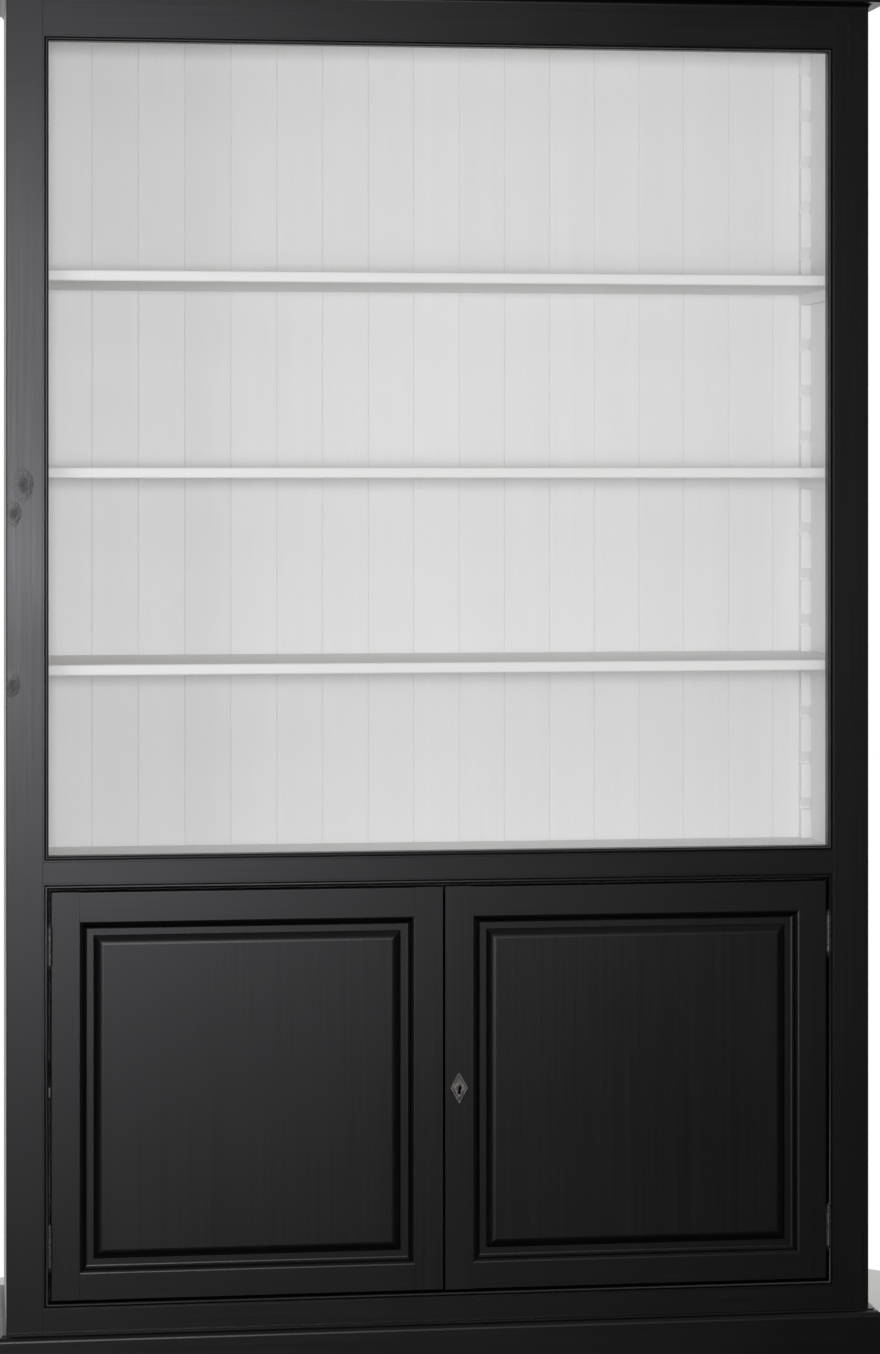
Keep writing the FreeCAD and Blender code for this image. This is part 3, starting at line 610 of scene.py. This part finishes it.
@dataclass
class Carcass:
    """Sides, horizontal panels, back boards and cleats."""

    arris: float = 0.0012
    ease: float = 0.0006
    side_thickness: float = 0.020
    paint_line: float = 0.0005
    cleat_thickness: float = 0.020
    board_pitch: float = 0.078
    first_board: float = 0.059
    least_board: float = 0.015
    board_ease: float = 0.0004
    joint_soft: float = 0.0005
    vee: float = 0.0009
    tongue: float = 0.005
    groove_play: float = 0.0005
    tongue_half: float = 0.002

    def sides(self) -> None:
        """Side panels, black outside and white inside."""
        for side in Side:
            node = f"side_panel_{side.word}"
            low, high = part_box(node)
            inner = max(abs(low.x), abs(high.x)) - self.side_thickness
            panel = board(low, high, Along.Z, self.arris, self.ease)
            attach(f"side_{side.word}", [panel], node, BLACK, inside=inner + self.paint_line)

    def panels(self) -> None:
        """Top, deck and bottom, with their front edges behind the face frame, and the cleats."""
        for node in ("top_panel", "middle_deck", "bottom_panel"):
            panel = board(*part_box(node), Along.X, self.arris, self.ease)
            attach(node.replace("_panel", "_board"), [panel], node, WHITE, Along.X)
        low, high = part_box("cabinet_shelf_cleats")
        low.x = high.x - self.cleat_thickness
        cleat = board(low, high, Along.Y, self.arris, self.ease)
        attach("cleats", [cleat, cleat.mirrored()], "cabinet_shelf_cleats", WHITE, Along.Y)

    def board_outline(self, near: float, far: float) -> Array:
        """Section of a back board: bevelled at its joints, grooved on the left and tongued on the right.

        Args:
            near: Left edge.
            far: Right edge.

        Returns:
            Points of the section, with softened corners.
        """
        low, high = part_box("back_boards")
        front, back = low.y, high.y
        middle = (front + back) / 2
        upper, lower = middle + self.tongue_half, middle - self.tongue_half
        groove, tip = near + self.tongue + self.groove_play, far + self.tongue
        left = [(near, back), (near, front)] if near == low.x else [
            (near, back), (near, upper), (groove, upper), (groove, lower), (near, lower),
            (near, front + self.vee), (near + self.vee, front)]
        right = [(far, front), (far, back)] if far == high.x else [
            (far - self.vee, front), (far, front + self.vee), (far, lower), (tip, lower), (tip, upper),
            (far, upper), (far, back)]
        return softened(left + right, self.joint_soft, 3)

    def back_boards(self) -> None:
        """Tongue-and-groove boards across the back."""
        low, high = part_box("back_boards")
        joints = np.arange(low.x + self.first_board, high.x - self.least_board, self.board_pitch)
        edges = np.concatenate([[low.x], joints, [high.x]])
        layers = eased(low.z, high.z, self.board_ease)
        boards = [layered(self.board_outline(near, far), layers, Along.Z)
                  for near, far in zip(edges[:-1], edges[1:])]
        attach("back", boards, "back_boards", WHITE)

    def build(self) -> None:
        """Makes all pieces of the carcass."""
        self.sides()
        self.panels()
        self.back_boards()


@dataclass
class Mouldings:
    """Plinth and cornice, each a front and two returns, and the board over the cornice."""

    plinth_thickness: float = 0.018
    plinth_fillet: float = 0.007
    plinth_step: float = 0.0025
    plinth_round: float = 0.009
    plinth_quirk: float = 0.0004
    cove: float = 0.008
    fascia_out: float = 0.026
    fascia_height: float = 0.014
    fascia_step: float = 0.004
    ogee_swell: float = 0.003
    fillet_height: float = 0.010
    fillet_step: float = 0.003
    crisp: float = 0.0006
    cap_arris: float = 0.003

    def plinth_section(self) -> Array:
        """Section of the plinth: a board with a fillet and a quarter round on top.

        Returns:
            Outward and upward distances.
        """
        low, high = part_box("plinth_front")
        height = high.z - low.z
        thick, fillet, quirk = self.plinth_thickness, self.plinth_fillet, self.plinth_quirk
        shoulder = height - self.plinth_step
        centre = (thick - self.plinth_round, shoulder - self.plinth_round)
        return np.array([(0.0, 0.0), (thick, 0.0), *arc(centre, self.plinth_round, 0, 90),
                         (fillet + quirk, shoulder), (fillet, shoulder + quirk),
                         (fillet, height - self.crisp), (fillet - self.crisp, height), (0.0, height)])

    def cornice_section(self) -> Array:
        """Section of the cornice: cove, fascia, ogee and fillet.

        Returns:
            Outward and upward distances.
        """
        low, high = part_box("cornice_front")
        projection, height = high.y - low.y, high.z - low.z
        out, crisp = self.fascia_out, self.crisp
        fascia_top = self.cove + self.fascia_height
        start = (out + self.fascia_step, fascia_top)
        end = (projection - self.fillet_step, height - self.fillet_height)
        middle = ((start[0] + end[0]) / 2, (start[1] + end[1]) / 2)
        return np.array([*arc((self.cove, 0.0), self.cove, 180, 90), (out - crisp, self.cove),
                         (out, self.cove + crisp), (out, fascia_top - crisp), (out + crisp, fascia_top),
                         *bow(start, middle, self.ogee_swell), *bow(middle, end, -self.ogee_swell)[1:],
                         (projection - crisp, end[1]), (projection, end[1] + crisp), (projection, height),
                         (0.0, height)])

    def run(self, word: str, section: Array) -> None:
        """Front and returns of a moulding, mitred at the two front corners.

        Formula: section point (o, h) lies o in front of the face, or o outside the side, h above the foot of
        the moulding, and both lengths end o past the corner of the carcass.

        Args:
            word: Name of the moulding.
            section: Outward and upward distances.
        """
        low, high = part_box(f"{word}_front")
        out, up = section.T
        half = high.x - out.max()
        face, height = high.y - out, low.z + up
        back = np.full_like(out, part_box(f"{word}_right")[1].y)
        front = skin(np.stack([np.stack([end * (half + out), face, height], axis=1) for end in (-1, 1)]))
        side = skin(np.stack([np.stack([half + out, y, height], axis=1) for y in (face, back)]))
        attach(f"{word}_face", [front], f"{word}_front", BLACK, Along.X)
        for hand in Side:
            attach(f"{word}_return_{hand.word}", [side.on(hand)], f"{word}_{hand.word}", BLACK, Along.Y)

    def build(self) -> None:
        """Makes the plinth, the cornice and its board."""
        self.run("plinth", self.plinth_section())
        self.run("cornice", self.cornice_section())
        cap = board(*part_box("cornice_top_board"), Along.X, self.cap_arris, self.cap_arris)
        attach("cornice_cap", [cap], "cornice_top_board", BLACK, Along.X)


@dataclass
class FaceFrame:
    """Stiles, rails and bead strips of the front."""

    arris: float = 0.002
    crisp: float = 0.0004
    bead_width: float = 0.007
    quirk_width: float = 0.0025
    quirk_depth: float = 0.004

    def stiles(self) -> None:
        """Upright stiles, with their outer front edge eased."""
        for side in Side:
            node = f"face_stile_{side.word}"
            left = side is Side.LEFT
            radii = (self.arris, self.crisp) if left else (self.crisp, self.arris)
            stile = board(*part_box(node), Along.Z, (*radii, self.crisp, self.crisp), self.crisp)
            attach(f"stile_{side.word}", [stile], node, BLACK_KNOTTY if left else BLACK)

    def rails(self) -> None:
        """Level rails between the stiles."""
        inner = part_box("face_stile_right")[0].x
        for word in ("top_rail", "middle_rail", "bottom_rail"):
            low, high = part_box(f"face_{word}")
            rail = board((-inner, low.y, low.z), (inner, high.y, high.z), Along.X, self.crisp, self.crisp / 2)
            attach(word, [rail], f"face_{word}", BLACK, Along.X)

    def bead_section(self, depth: float) -> Array:
        """Section of a bead strip: a groove, then a half-round nose flush with the face.

        Args:
            depth: How far the strip reaches back.

        Returns:
            Inward and backward distances.
        """
        nose = self.bead_width / 2
        width = self.bead_width + self.quirk_width
        return np.array([(0.0, self.quirk_depth), (self.quirk_width, self.quirk_depth),
                         *arc((self.quirk_width + nose, nose), nose, 180, 360, 14),
                         (width, depth), (0.0, depth)])

    def beads(self) -> None:
        """Bead strips round the two openings."""
        for word in ("upper", "door"):
            low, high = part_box(f"{word}_opening_bead")
            strip = framed(self.bead_section(high.y - low.y), (low.x, low.z), (high.x, high.z), low.y)
            attach(f"{word}_bead", [strip], f"{word}_opening_bead", BLACK)

    def build(self) -> None:
        """Makes the whole front."""
        self.stiles()
        self.rails()
        self.beads()


@dataclass
class Ladders:
    """Notched strips in the corners and the battens that lie in their notches."""

    first_notch: float = 0.0495
    pitch: float = 0.0789
    depth: float = 0.012
    root: float = 0.003
    relief: float = 0.003
    batten: float = 0.018
    batten_thickness: float = 0.0175
    end_play: float = 0.0003
    top_play: float = 0.001
    soft: float = 0.0007
    ease: float = 0.0004

    def strips(self) -> None:
        """Ladder strips: an outline with a row of notches, carried across the thickness."""
        mouth = self.batten + self.relief
        for place, inward in (("front", 1), ("back", -1)):
            low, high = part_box(f"ladder_strip_{place}_right")
            wall, face = (low.y, high.y) if inward > 0 else (high.y, low.y)
            deep = face - inward * self.depth
            ledges = np.arange(low.z + self.first_notch, high.z - mouth, self.pitch)
            tooth = ((face, 0.0), (deep, 0.0), (deep, self.root), (face, mouth))
            teeth = [(y, ledge + rise) for ledge in ledges for y, rise in tooth]
            corners = [(wall, low.z), (face, low.z), *teeth, (face, high.z), (wall, high.z)]
            strip = layered(softened(corners, self.soft, 3), eased(low.x, high.x, self.ease), Along.X)
            for side in Side:
                name = f"{place}_{side.word}"
                attach(f"ladder_{name}", [strip.on(side)], f"ladder_strip_{name}", WHITE)

    def battens(self) -> None:
        """Battens: a bar with slanting ends, carried across its thickness."""
        slope = (self.batten + self.relief - self.root) / self.depth
        tip = self.root - self.top_play + slope * self.end_play
        run = (self.batten - tip) / slope
        for shelf in ("top", "middle", "bottom"):
            node = f"{shelf}_shelf_battens"
            low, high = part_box(node)
            corners = [(low.y, low.z), (high.y, low.z), (high.y, low.z + tip), (high.y - run, high.z),
                       (low.y + run, high.z), (low.y, low.z + tip)]
            layers = eased(high.x - self.batten_thickness, high.x, self.ease)
            bar = layered(softened(corners, self.soft, 3), layers, Along.X)
            attach(f"battens_{shelf}", [bar, bar.mirrored()], node, WHITE, Along.Y)

    def build(self) -> None:
        """Makes the strips and the battens."""
        self.strips()
        self.battens()


@dataclass
class Shelves:
    """Loose shelves; the open ones are cut round the ladder strips."""

    ease: float = 0.0035
    end_ease: float = 0.001
    notch_round: float = 0.004
    play: float = 0.001

    def plan(self, low: Row, high: Row) -> Array:
        """Plan of an open shelf with a notch at each corner.

        Args:
            low: Lowest corner of its node.
            high: Highest corner.

        Returns:
            Points of the plan, with softened corners.
        """
        front_low, front_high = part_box("ladder_strip_front_right")
        near, front = front_low.x - self.play, front_high.y + self.play
        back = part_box("ladder_strip_back_right")[0].y - self.play
        corners = [(-near, low.y), (near, low.y), (near, front), (high.x, front), (high.x, back),
                   (near, back), (near, high.y), (-near, high.y), (-near, back), (low.x, back),
                   (low.x, front), (-near, front)]
        return softened(corners, self.notch_round)

    def build(self) -> None:
        """Makes the three open shelves and the one in the cupboard."""
        for word in ("top", "middle", "bottom", "cabinet"):
            node = f"{word}_shelf"
            low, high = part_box(node)
            if word == "cabinet":
                shelf = board(low, high, Along.X, self.ease, self.end_ease)
            else:
                shelf = layered(self.plan(low, high), eased(low.z, high.z, self.ease, 4), Along.Z)
            attach(f"shelf_{word}", [shelf], node, WHITE, Along.X, body=node)


@dataclass
class Door:
    """One raised-panel door: stiles, rails, panel and moulding."""

    side: Side
    arris: float = 0.0025
    close: float = 0.001
    crisp: float = 0.0003
    moulding: float = 0.022
    ogee: float = 0.012
    swell: float = 0.00115
    margin: float = 0.0096
    seat: float = 0.012
    bevel: float = 0.0096
    field_depth: float = 0.0025
    field_round: float = 0.020
    panel_arris: float = 0.0005
    mitre: float = 4.0

    @property
    def body(self) -> str:
        """Body that the door rides on."""
        return f"{self.side.word}_door"

    def node(self, word: str) -> str:
        """Name of one of the door's nodes."""
        return f"{self.body}_{word}"

    @property
    def meeting(self) -> str:
        """Node of the stile at the middle of the bookcase."""
        return self.node("meeting_stile" if self.side is Side.LEFT else "lock_stile")

    def sight(self) -> tuple[float, float, float, float]:
        """Left, right, lower and upper edge that the panel shows between."""
        left, right = sorted((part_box(self.meeting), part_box(self.node("hinge_stile"))),
                             key=lambda box: box[0].x)
        return (left[1].x, right[0].x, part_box(self.node("bottom_rail"))[1].z,
                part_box(self.node("top_rail"))[0].z)

    def stiles(self) -> None:
        """Stiles, with the outer front edge eased; the lock stile keeps its bored solid."""
        for node in (self.meeting, self.node("hinge_stile")):
            if node.endswith("lock_stile"):
                dress(node, BLACK)
                continue
            low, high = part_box(node)
            outer = self.close if node == self.meeting else self.arris
            radii = (outer, self.crisp) if low.x < self.sight()[0] else (self.crisp, outer)
            stile = board(low, high, Along.Z, (*radii, self.crisp, self.crisp), self.close)
            attach(f"{node}_board", [stile], node, BLACK, body=self.body)

    def rails(self) -> None:
        """Rails between the stiles, with the outer front edge eased."""
        left, right, _, _ = self.sight()
        crisp = self.crisp
        for word, radii in (("top_rail", (crisp, crisp, crisp, self.arris)),
                            ("bottom_rail", (self.close, crisp, crisp, crisp))):
            node = self.node(word)
            low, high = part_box(node)
            rail = board((left, low.y, low.z), (right, high.y, high.z), Along.X, radii, crisp / 2)
            attach(f"{node}_board", [rail], node, BLACK, Along.X, self.body)

    def panel(self) -> None:
        """Panel: a thin edge in the grooves, then a bevel and a round up to the raised field.

        Formula: rings of one rectangle, drawn in along the bevel, then along the arc that meets the bevel and
        the field.
        """
        node = self.node("panel")
        low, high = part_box(node)
        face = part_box(self.meeting)[0].y
        seat, edge = face + self.seat, self.panel_arris
        tilt = math.atan2(self.margin - self.field_depth, self.bevel)
        start = self.sight()[0] - low.x + self.moulding
        corner = start + self.bevel + self.field_round * math.tan(tilt / 2)
        turn = np.linspace(tilt, 0, 13)
        rounds = np.stack([corner - self.field_round * np.sin(turn),
                           face + self.field_depth + self.field_round * (1 - np.cos(turn))], axis=1)
        layers = np.concatenate([[(edge, high.y), (0.0, high.y - edge), (0.0, seat), (start, seat),
                                  (start, face + self.margin)], rounds])
        panel = layered(np.array(rectangle(low.x, low.z, high.x, high.z)), layers, Along.Y)
        attach(f"{node}_field", [panel], node, BLACK, body=self.body, sharp=self.mitre)

    def moulding_strip(self) -> None:
        """Moulding inside the frame: an ogee of two equal arcs and a level margin, mitred at the corners."""
        node = self.node("moulding")
        left, right, lower, upper = self.sight()
        middle = (self.ogee / 2, self.margin / 2)
        section = np.array([*bow((0.0, 0.0), middle, self.swell, 18),
                            *bow(middle, (self.ogee, self.margin), -self.swell, 18)[1:],
                            (self.moulding, self.margin), (self.moulding, self.seat), (0.0, self.seat)])
        strip = framed(section, (left, lower), (right, upper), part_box(self.meeting)[0].y)
        attach(f"{node}_strip", [strip], node, BLACK, body=self.body, sharp=self.mitre)

    def build(self) -> None:
        """Makes the whole door."""
        self.stiles()
        self.rails()
        self.panel()
        self.moulding_strip()


@dataclass
class Hinges:
    """Butt hinges: leaves, knuckles and pins with tapering ends."""

    length: float = 0.060
    knuckles: int = 5
    gap: float = 0.0003
    radius: float = 0.0045
    bore: float = 0.00255
    pin: float = 0.0025
    leaf: float = 0.00135
    leaf_gap: float = 0.0003
    leaf_width: float = 0.020
    leaf_arris: float = 0.0002
    leaf_ease: float = 0.0004
    web_arris: float = 0.0001
    clear: float = 0.0003
    finial: float = 0.009
    tip: float = 0.0012
    soft: float = 0.0005

    def centres(self) -> Flat:
        """Heights of the lower and the upper hinge."""
        low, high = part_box("hinge_frame_leaves")
        return low.z + self.length / 2, high.z - self.length / 2

    def axis(self) -> Flat:
        """Where the right-hand axis stands."""
        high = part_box("hinge_pins")[1]
        return high.x - self.radius, high.y - self.radius

    def leaf_skins(self, first: int, outward: int) -> list[Skin]:
        """Right-hand leaves with every second knuckle, each joined to the leaf by a narrow web.

        Args:
            first: The lowest knuckle that belongs to the leaf.
            outward: 1 for the leaf on the frame, -1 for the one on the door.

        Returns:
            The skins of both hinges.
        """
        x, y = self.axis()
        face = y + self.radius + self.clear
        near, far = sorted(x + outward * (self.leaf_gap / 2 + reach) for reach in (0.0, self.leaf))
        pitch = self.length / self.knuckles
        skins = []
        for centre in self.centres():
            low = centre - self.length / 2
            skins.append(board((near, face, low), (far, face + self.leaf_width, low + self.length), Along.Z,
                               self.leaf_arris, self.leaf_ease))
            for i in range(first, self.knuckles, 2):
                foot, head = low + i * pitch + self.gap / 2, low + (i + 1) * pitch - self.gap / 2
                wall = rectangle(self.bore, foot, self.radius, head)
                skins.append(turned(softened(wall, self.soft / 2, 3), (x, y), bored=True))
                skins.append(board((near, y + self.bore + self.soft, foot), (far, face, head), Along.Z,
                                   self.web_arris, self.web_arris))
        return skins

    def pins(self) -> list[Skin]:
        """Right-hand pins: a rod between two tapering finials.

        Returns:
            One skin for each hinge.
        """
        profile = [(self.tip * 0.4, 0.0), (self.tip * 0.8, self.tip * 0.25), (self.tip, self.tip * 0.7),
                   (self.radius * 0.62, self.finial * 0.52), (self.radius * 0.9, self.finial * 0.9),
                   (self.radius, self.finial - self.soft), (self.radius - self.soft, self.finial),
                   (self.pin, self.finial)]
        skins = []
        for centre in self.centres():
            low = centre - self.length / 2 - self.finial
            high = centre + self.length / 2 + self.finial
            whole = [(r, low + h) for r, h in profile] + [(r, high - h) for r, h in reversed(profile)]
            skins.append(turned(whole, self.axis()))
        return skins

    def build(self) -> None:
        """Makes the leaves and pins of all four hinges."""
        moving = self.leaf_skins(1, -1)
        for name, node, skins in (("frame_leaves", "hinge_frame_leaves", self.leaf_skins(0, 1)),
                                  ("pins", "hinge_pins", self.pins())):
            attach(name, skins + [s.mirrored() for s in skins], node, IRON)
        for side in Side:
            door = f"{side.word}_door"
            leaves = [s.on(side) for s in moving]
            attach(f"{side.word}_leaves", leaves, f"{door}_hinge_leaves", IRON, body=door)
            dress(f"{door}_hinge_screws", STEEL, Along.X)
        dress("hinge_frame_screws", STEEL, Along.X)


@dataclass
class Fittings:
    """Keyhole plate, lock and the bolts inside the left door."""

    rim: float = 0.0032
    sink: float = 0.0013
    bevel: float = 0.001
    hole: float = 0.004
    slot: float = 0.0022
    drop: float = 0.010
    soft: float = 0.0003
    sharp: float = 20.0

    def plate(self) -> None:
        """Diamond plate round the keyhole.

        Formula: every ring is a radius over the angle t; for the diamond 1 / (|cos t| / w + |sin t| / h),
        with w and h drawn in for an inset, and for the keyhole the larger of its circle and its slot.
        """
        low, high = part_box("keyhole_plate")
        wide, tall = (high.x - low.x) / 2, (high.z - low.z) / 2
        slant = math.hypot(wide, tall)
        foot = math.atan2(-self.drop, self.slot)
        waist = math.atan2(-math.sqrt(self.hole**2 - self.slot**2), self.slot)
        special = np.array([foot, -math.pi - foot, waist, -math.pi - waist])
        t = np.unique(np.round(np.concatenate([np.linspace(0, 2 * math.pi, 128, endpoint=False),
                                               special % (2 * math.pi)]), 6))
        cosine, sine = np.abs(np.cos(t)), np.abs(np.sin(t))

        def diamond(inset: float) -> Array:
            """Radius of the diamond, drawn in by an inset."""
            return 1 / (cosine / (wide - inset * slant / tall) + sine / (tall - inset * slant / wide))

        with np.errstate(divide="ignore"):
            notch = np.minimum(self.slot / cosine, self.drop / sine)
        keyhole = np.where((np.sin(t) < 0) & (notch > self.hole), notch, self.hole)
        thick = high.y - low.y
        ground = thick - self.sink
        rings = [(diamond(0.0), 0.0), (diamond(0.0), thick - self.bevel), (diamond(self.bevel), thick),
                 (diamond(self.rim), thick), (diamond(self.rim + self.sink), ground),
                 (keyhole + self.soft, ground), (keyhole, ground - self.soft), (keyhole, 0.0)]
        x, z = (low.x + high.x) / 2, (low.z + high.z) / 2
        points = np.stack([np.stack([x + r * np.cos(t), np.full_like(t, high.y - proud), z + r * np.sin(t)],
                                    axis=1) for r, proud in rings])
        plate = skin(points, loop=True)
        attach("plate", [plate], "keyhole_plate", PEWTER, body="right_door", sharp=self.sharp)

    def build(self) -> None:
        """Makes the plate and finishes the lock and the bolts."""
        self.plate()
        dress("keyhole_plate_pins", PEWTER)
        dress("lock_case", IRON)
        for node in ("lock_screws", "lock_bolt", "upper_bolt", "lower_bolt", "bolt_guides"):
            dress(node, STEEL)


@dataclass(frozen=True)
class Lamp:
    """A soft rectangular lamp of so many watts; it lights surfaces, shows in their sheen, or both."""

    name: str
    place: Point
    size: Flat
    power: float
    colour: Colour
    aim: Point = (0.0, 0.0, 1.45)
    diffuse: bool = True
    glossy: bool = False

    def hang(self) -> None:
        """Sets the lamp at its place, facing its aim."""
        light = bpy.data.lights.new(self.name, "AREA")
        light.shape = "RECTANGLE"
        light.size, light.size_y = self.size
        light.energy = self.power
        light.color = self.colour
        lamp = put(self.name, light)
        x, y, z = np.array(self.aim) - np.array(self.place)
        lamp.location = self.place
        lamp.rotation_euler = (math.acos(-z / math.hypot(x, y, z)), 0.0, math.atan2(-x, y))
        lamp.visible_diffuse, lamp.visible_glossy = self.diffuse, self.glossy


COOL, PALE, PLAIN, WARM = (0.94, 0.945, 1.0), (0.982, 0.988, 1.0), (1.0, 1.0, 1.0), (1.0, 0.97, 0.93)
LAMPS = (Lamp("window", (-0.93, -6.6, 1.39), (0.45, 1.05), 149.0, COOL, aim=(-0.3, 0.0, 1.35),
              diffuse=False, glossy=True),
         Lamp("fill", (-0.6, -6.5, 1.55), (0.9, 0.8), 156.0, PALE),
         Lamp("left", (-4.4, -3.1, 1.45), (2.6, 0.8), 52.0, PALE),
         Lamp("right", (2.4, -4.6, 1.45), (2.0, 0.8), 9.0, WARM),
         Lamp("high", (-0.6, -4.0, 3.2), (1.6, 0.8), 4.0, PLAIN),
         Lamp("rear", (1.5, 4.5, 2.5), (3.0, 2.0), 110.0, PLAIN, aim=(0.0, 0.2, 1.1)))


@dataclass
class Studio:
    """Floor, light and camera."""

    eye: Point = (-0.7615, -5.8604, 1.4622)
    yaw: float = 0.1313
    lens: float = 95.23
    sensor: float = 36.0
    shift: float = -0.151
    room: Colour = (0.36, 0.353, 0.348)
    behind: float = 1.0
    ahead: float = 0.02
    above: float = 0.26
    below: float = 0.02
    backward: Flat = (-0.3, 0.5)
    upward: Flat = (0.45, 0.9)
    downward: Flat = (-0.7, -0.3)
    floor_radius: float = 1.3
    floor_middle: Flat = (0.0, -0.4)
    floor_tones: tuple[Colour, Colour] = ((0.74, 0.74, 0.735), (0.78, 0.78, 0.77))
    floor_roughness: float = 0.8

    def floor(self) -> None:
        """Round pale floor, further in front than behind; it does not show in the sheen of the paint."""
        material = bpy.data.materials.new("pale_floor")
        graph = Graph(material)
        colour = graph.blend(graph.noise((0.8, 0.8, 0.8), 2.0), *self.floor_tones)
        graph.feed(graph.shader, {"Base Color": colour, "Roughness": self.floor_roughness})
        rim = [(x, y, 0.0) for x, y in arc(self.floor_middle, self.floor_radius, 0, 360, 96)[:-1]]
        mesh = bpy.data.meshes.new("floor")
        mesh.from_pydata(rim, [], [list(range(len(rim)))])
        mesh.materials.append(material)
        floor = put("floor", mesh)
        floor.visible_glossy = False
        floor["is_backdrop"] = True

    def world(self) -> None:
        """White background and room light; in the sheen, bright behind, grey above, dark ahead and below."""
        world = bpy.data.worlds.new("room")
        graph = Graph(world, "Background")
        ray = graph.add("ShaderNodeLightPath").outputs
        way = graph.add("ShaderNodeTexCoord").outputs["Generated"]
        way = graph.add("ShaderNodeSeparateXYZ", {0: way}).outputs
        back = graph.span(way["Y"], self.backward, (self.ahead, self.behind))
        over = graph.span(way["Z"], self.upward, (0.0, self.above))
        under = graph.span(way["Z"], self.downward, (self.below, 1.0))
        sheen = graph.sums("MULTIPLY", graph.sums("MAXIMUM", back, over), under)
        seen = graph.sums("MAXIMUM", ray["Is Camera Ray"], ray["Is Transmission Ray"])
        light = graph.blend(ray["Is Glossy Ray"], self.room, sheen)
        graph.feed(graph.shader, {"Color": graph.blend(seen, light, (1.0, 1.0, 1.0))})
        bpy.context.scene.world = world

    def camera(self) -> None:
        """Level camera left of the middle, turned a little to the right, with the lens shifted down."""
        data = bpy.data.cameras.new("camera")
        data.lens = self.lens
        data.sensor_width = self.sensor
        data.shift_y = self.shift
        camera = put("camera", data)
        camera.location = self.eye
        camera.rotation_euler = (math.pi / 2, 0.0, -self.yaw)
        bpy.context.scene.camera = camera

    def build(self) -> None:
        """Sets up everything round the bookcase."""
        self.floor()
        self.world()
        for lamp in LAMPS:
            lamp.hang()
        self.camera()
        bpy.context.scene.view_settings.view_transform = "Standard"


def write_sizes() -> None:
    """Puts the CAD box and the dressed part's box side by side by name; the result is not kept."""
    boxes = {"cad": CAD_BOX, "visual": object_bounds()}
    {name: [list(corner) for corner in box] for name, box in boxes.items()}


def main() -> None:
    """Builds every sub-assembly in order."""
    logging.basicConfig(level=logging.INFO, format="%(message)s")
    for part in (Carcass(), Mouldings(), FaceFrame(), Ladders(), Shelves(), Door(Side.LEFT), Door(Side.RIGHT),
                 Hinges(), Fittings(), Studio()):
        LOG.info("building %s", type(part).__name__)
        part.build()
    write_sizes()


if __name__ == "__main__":
    main()
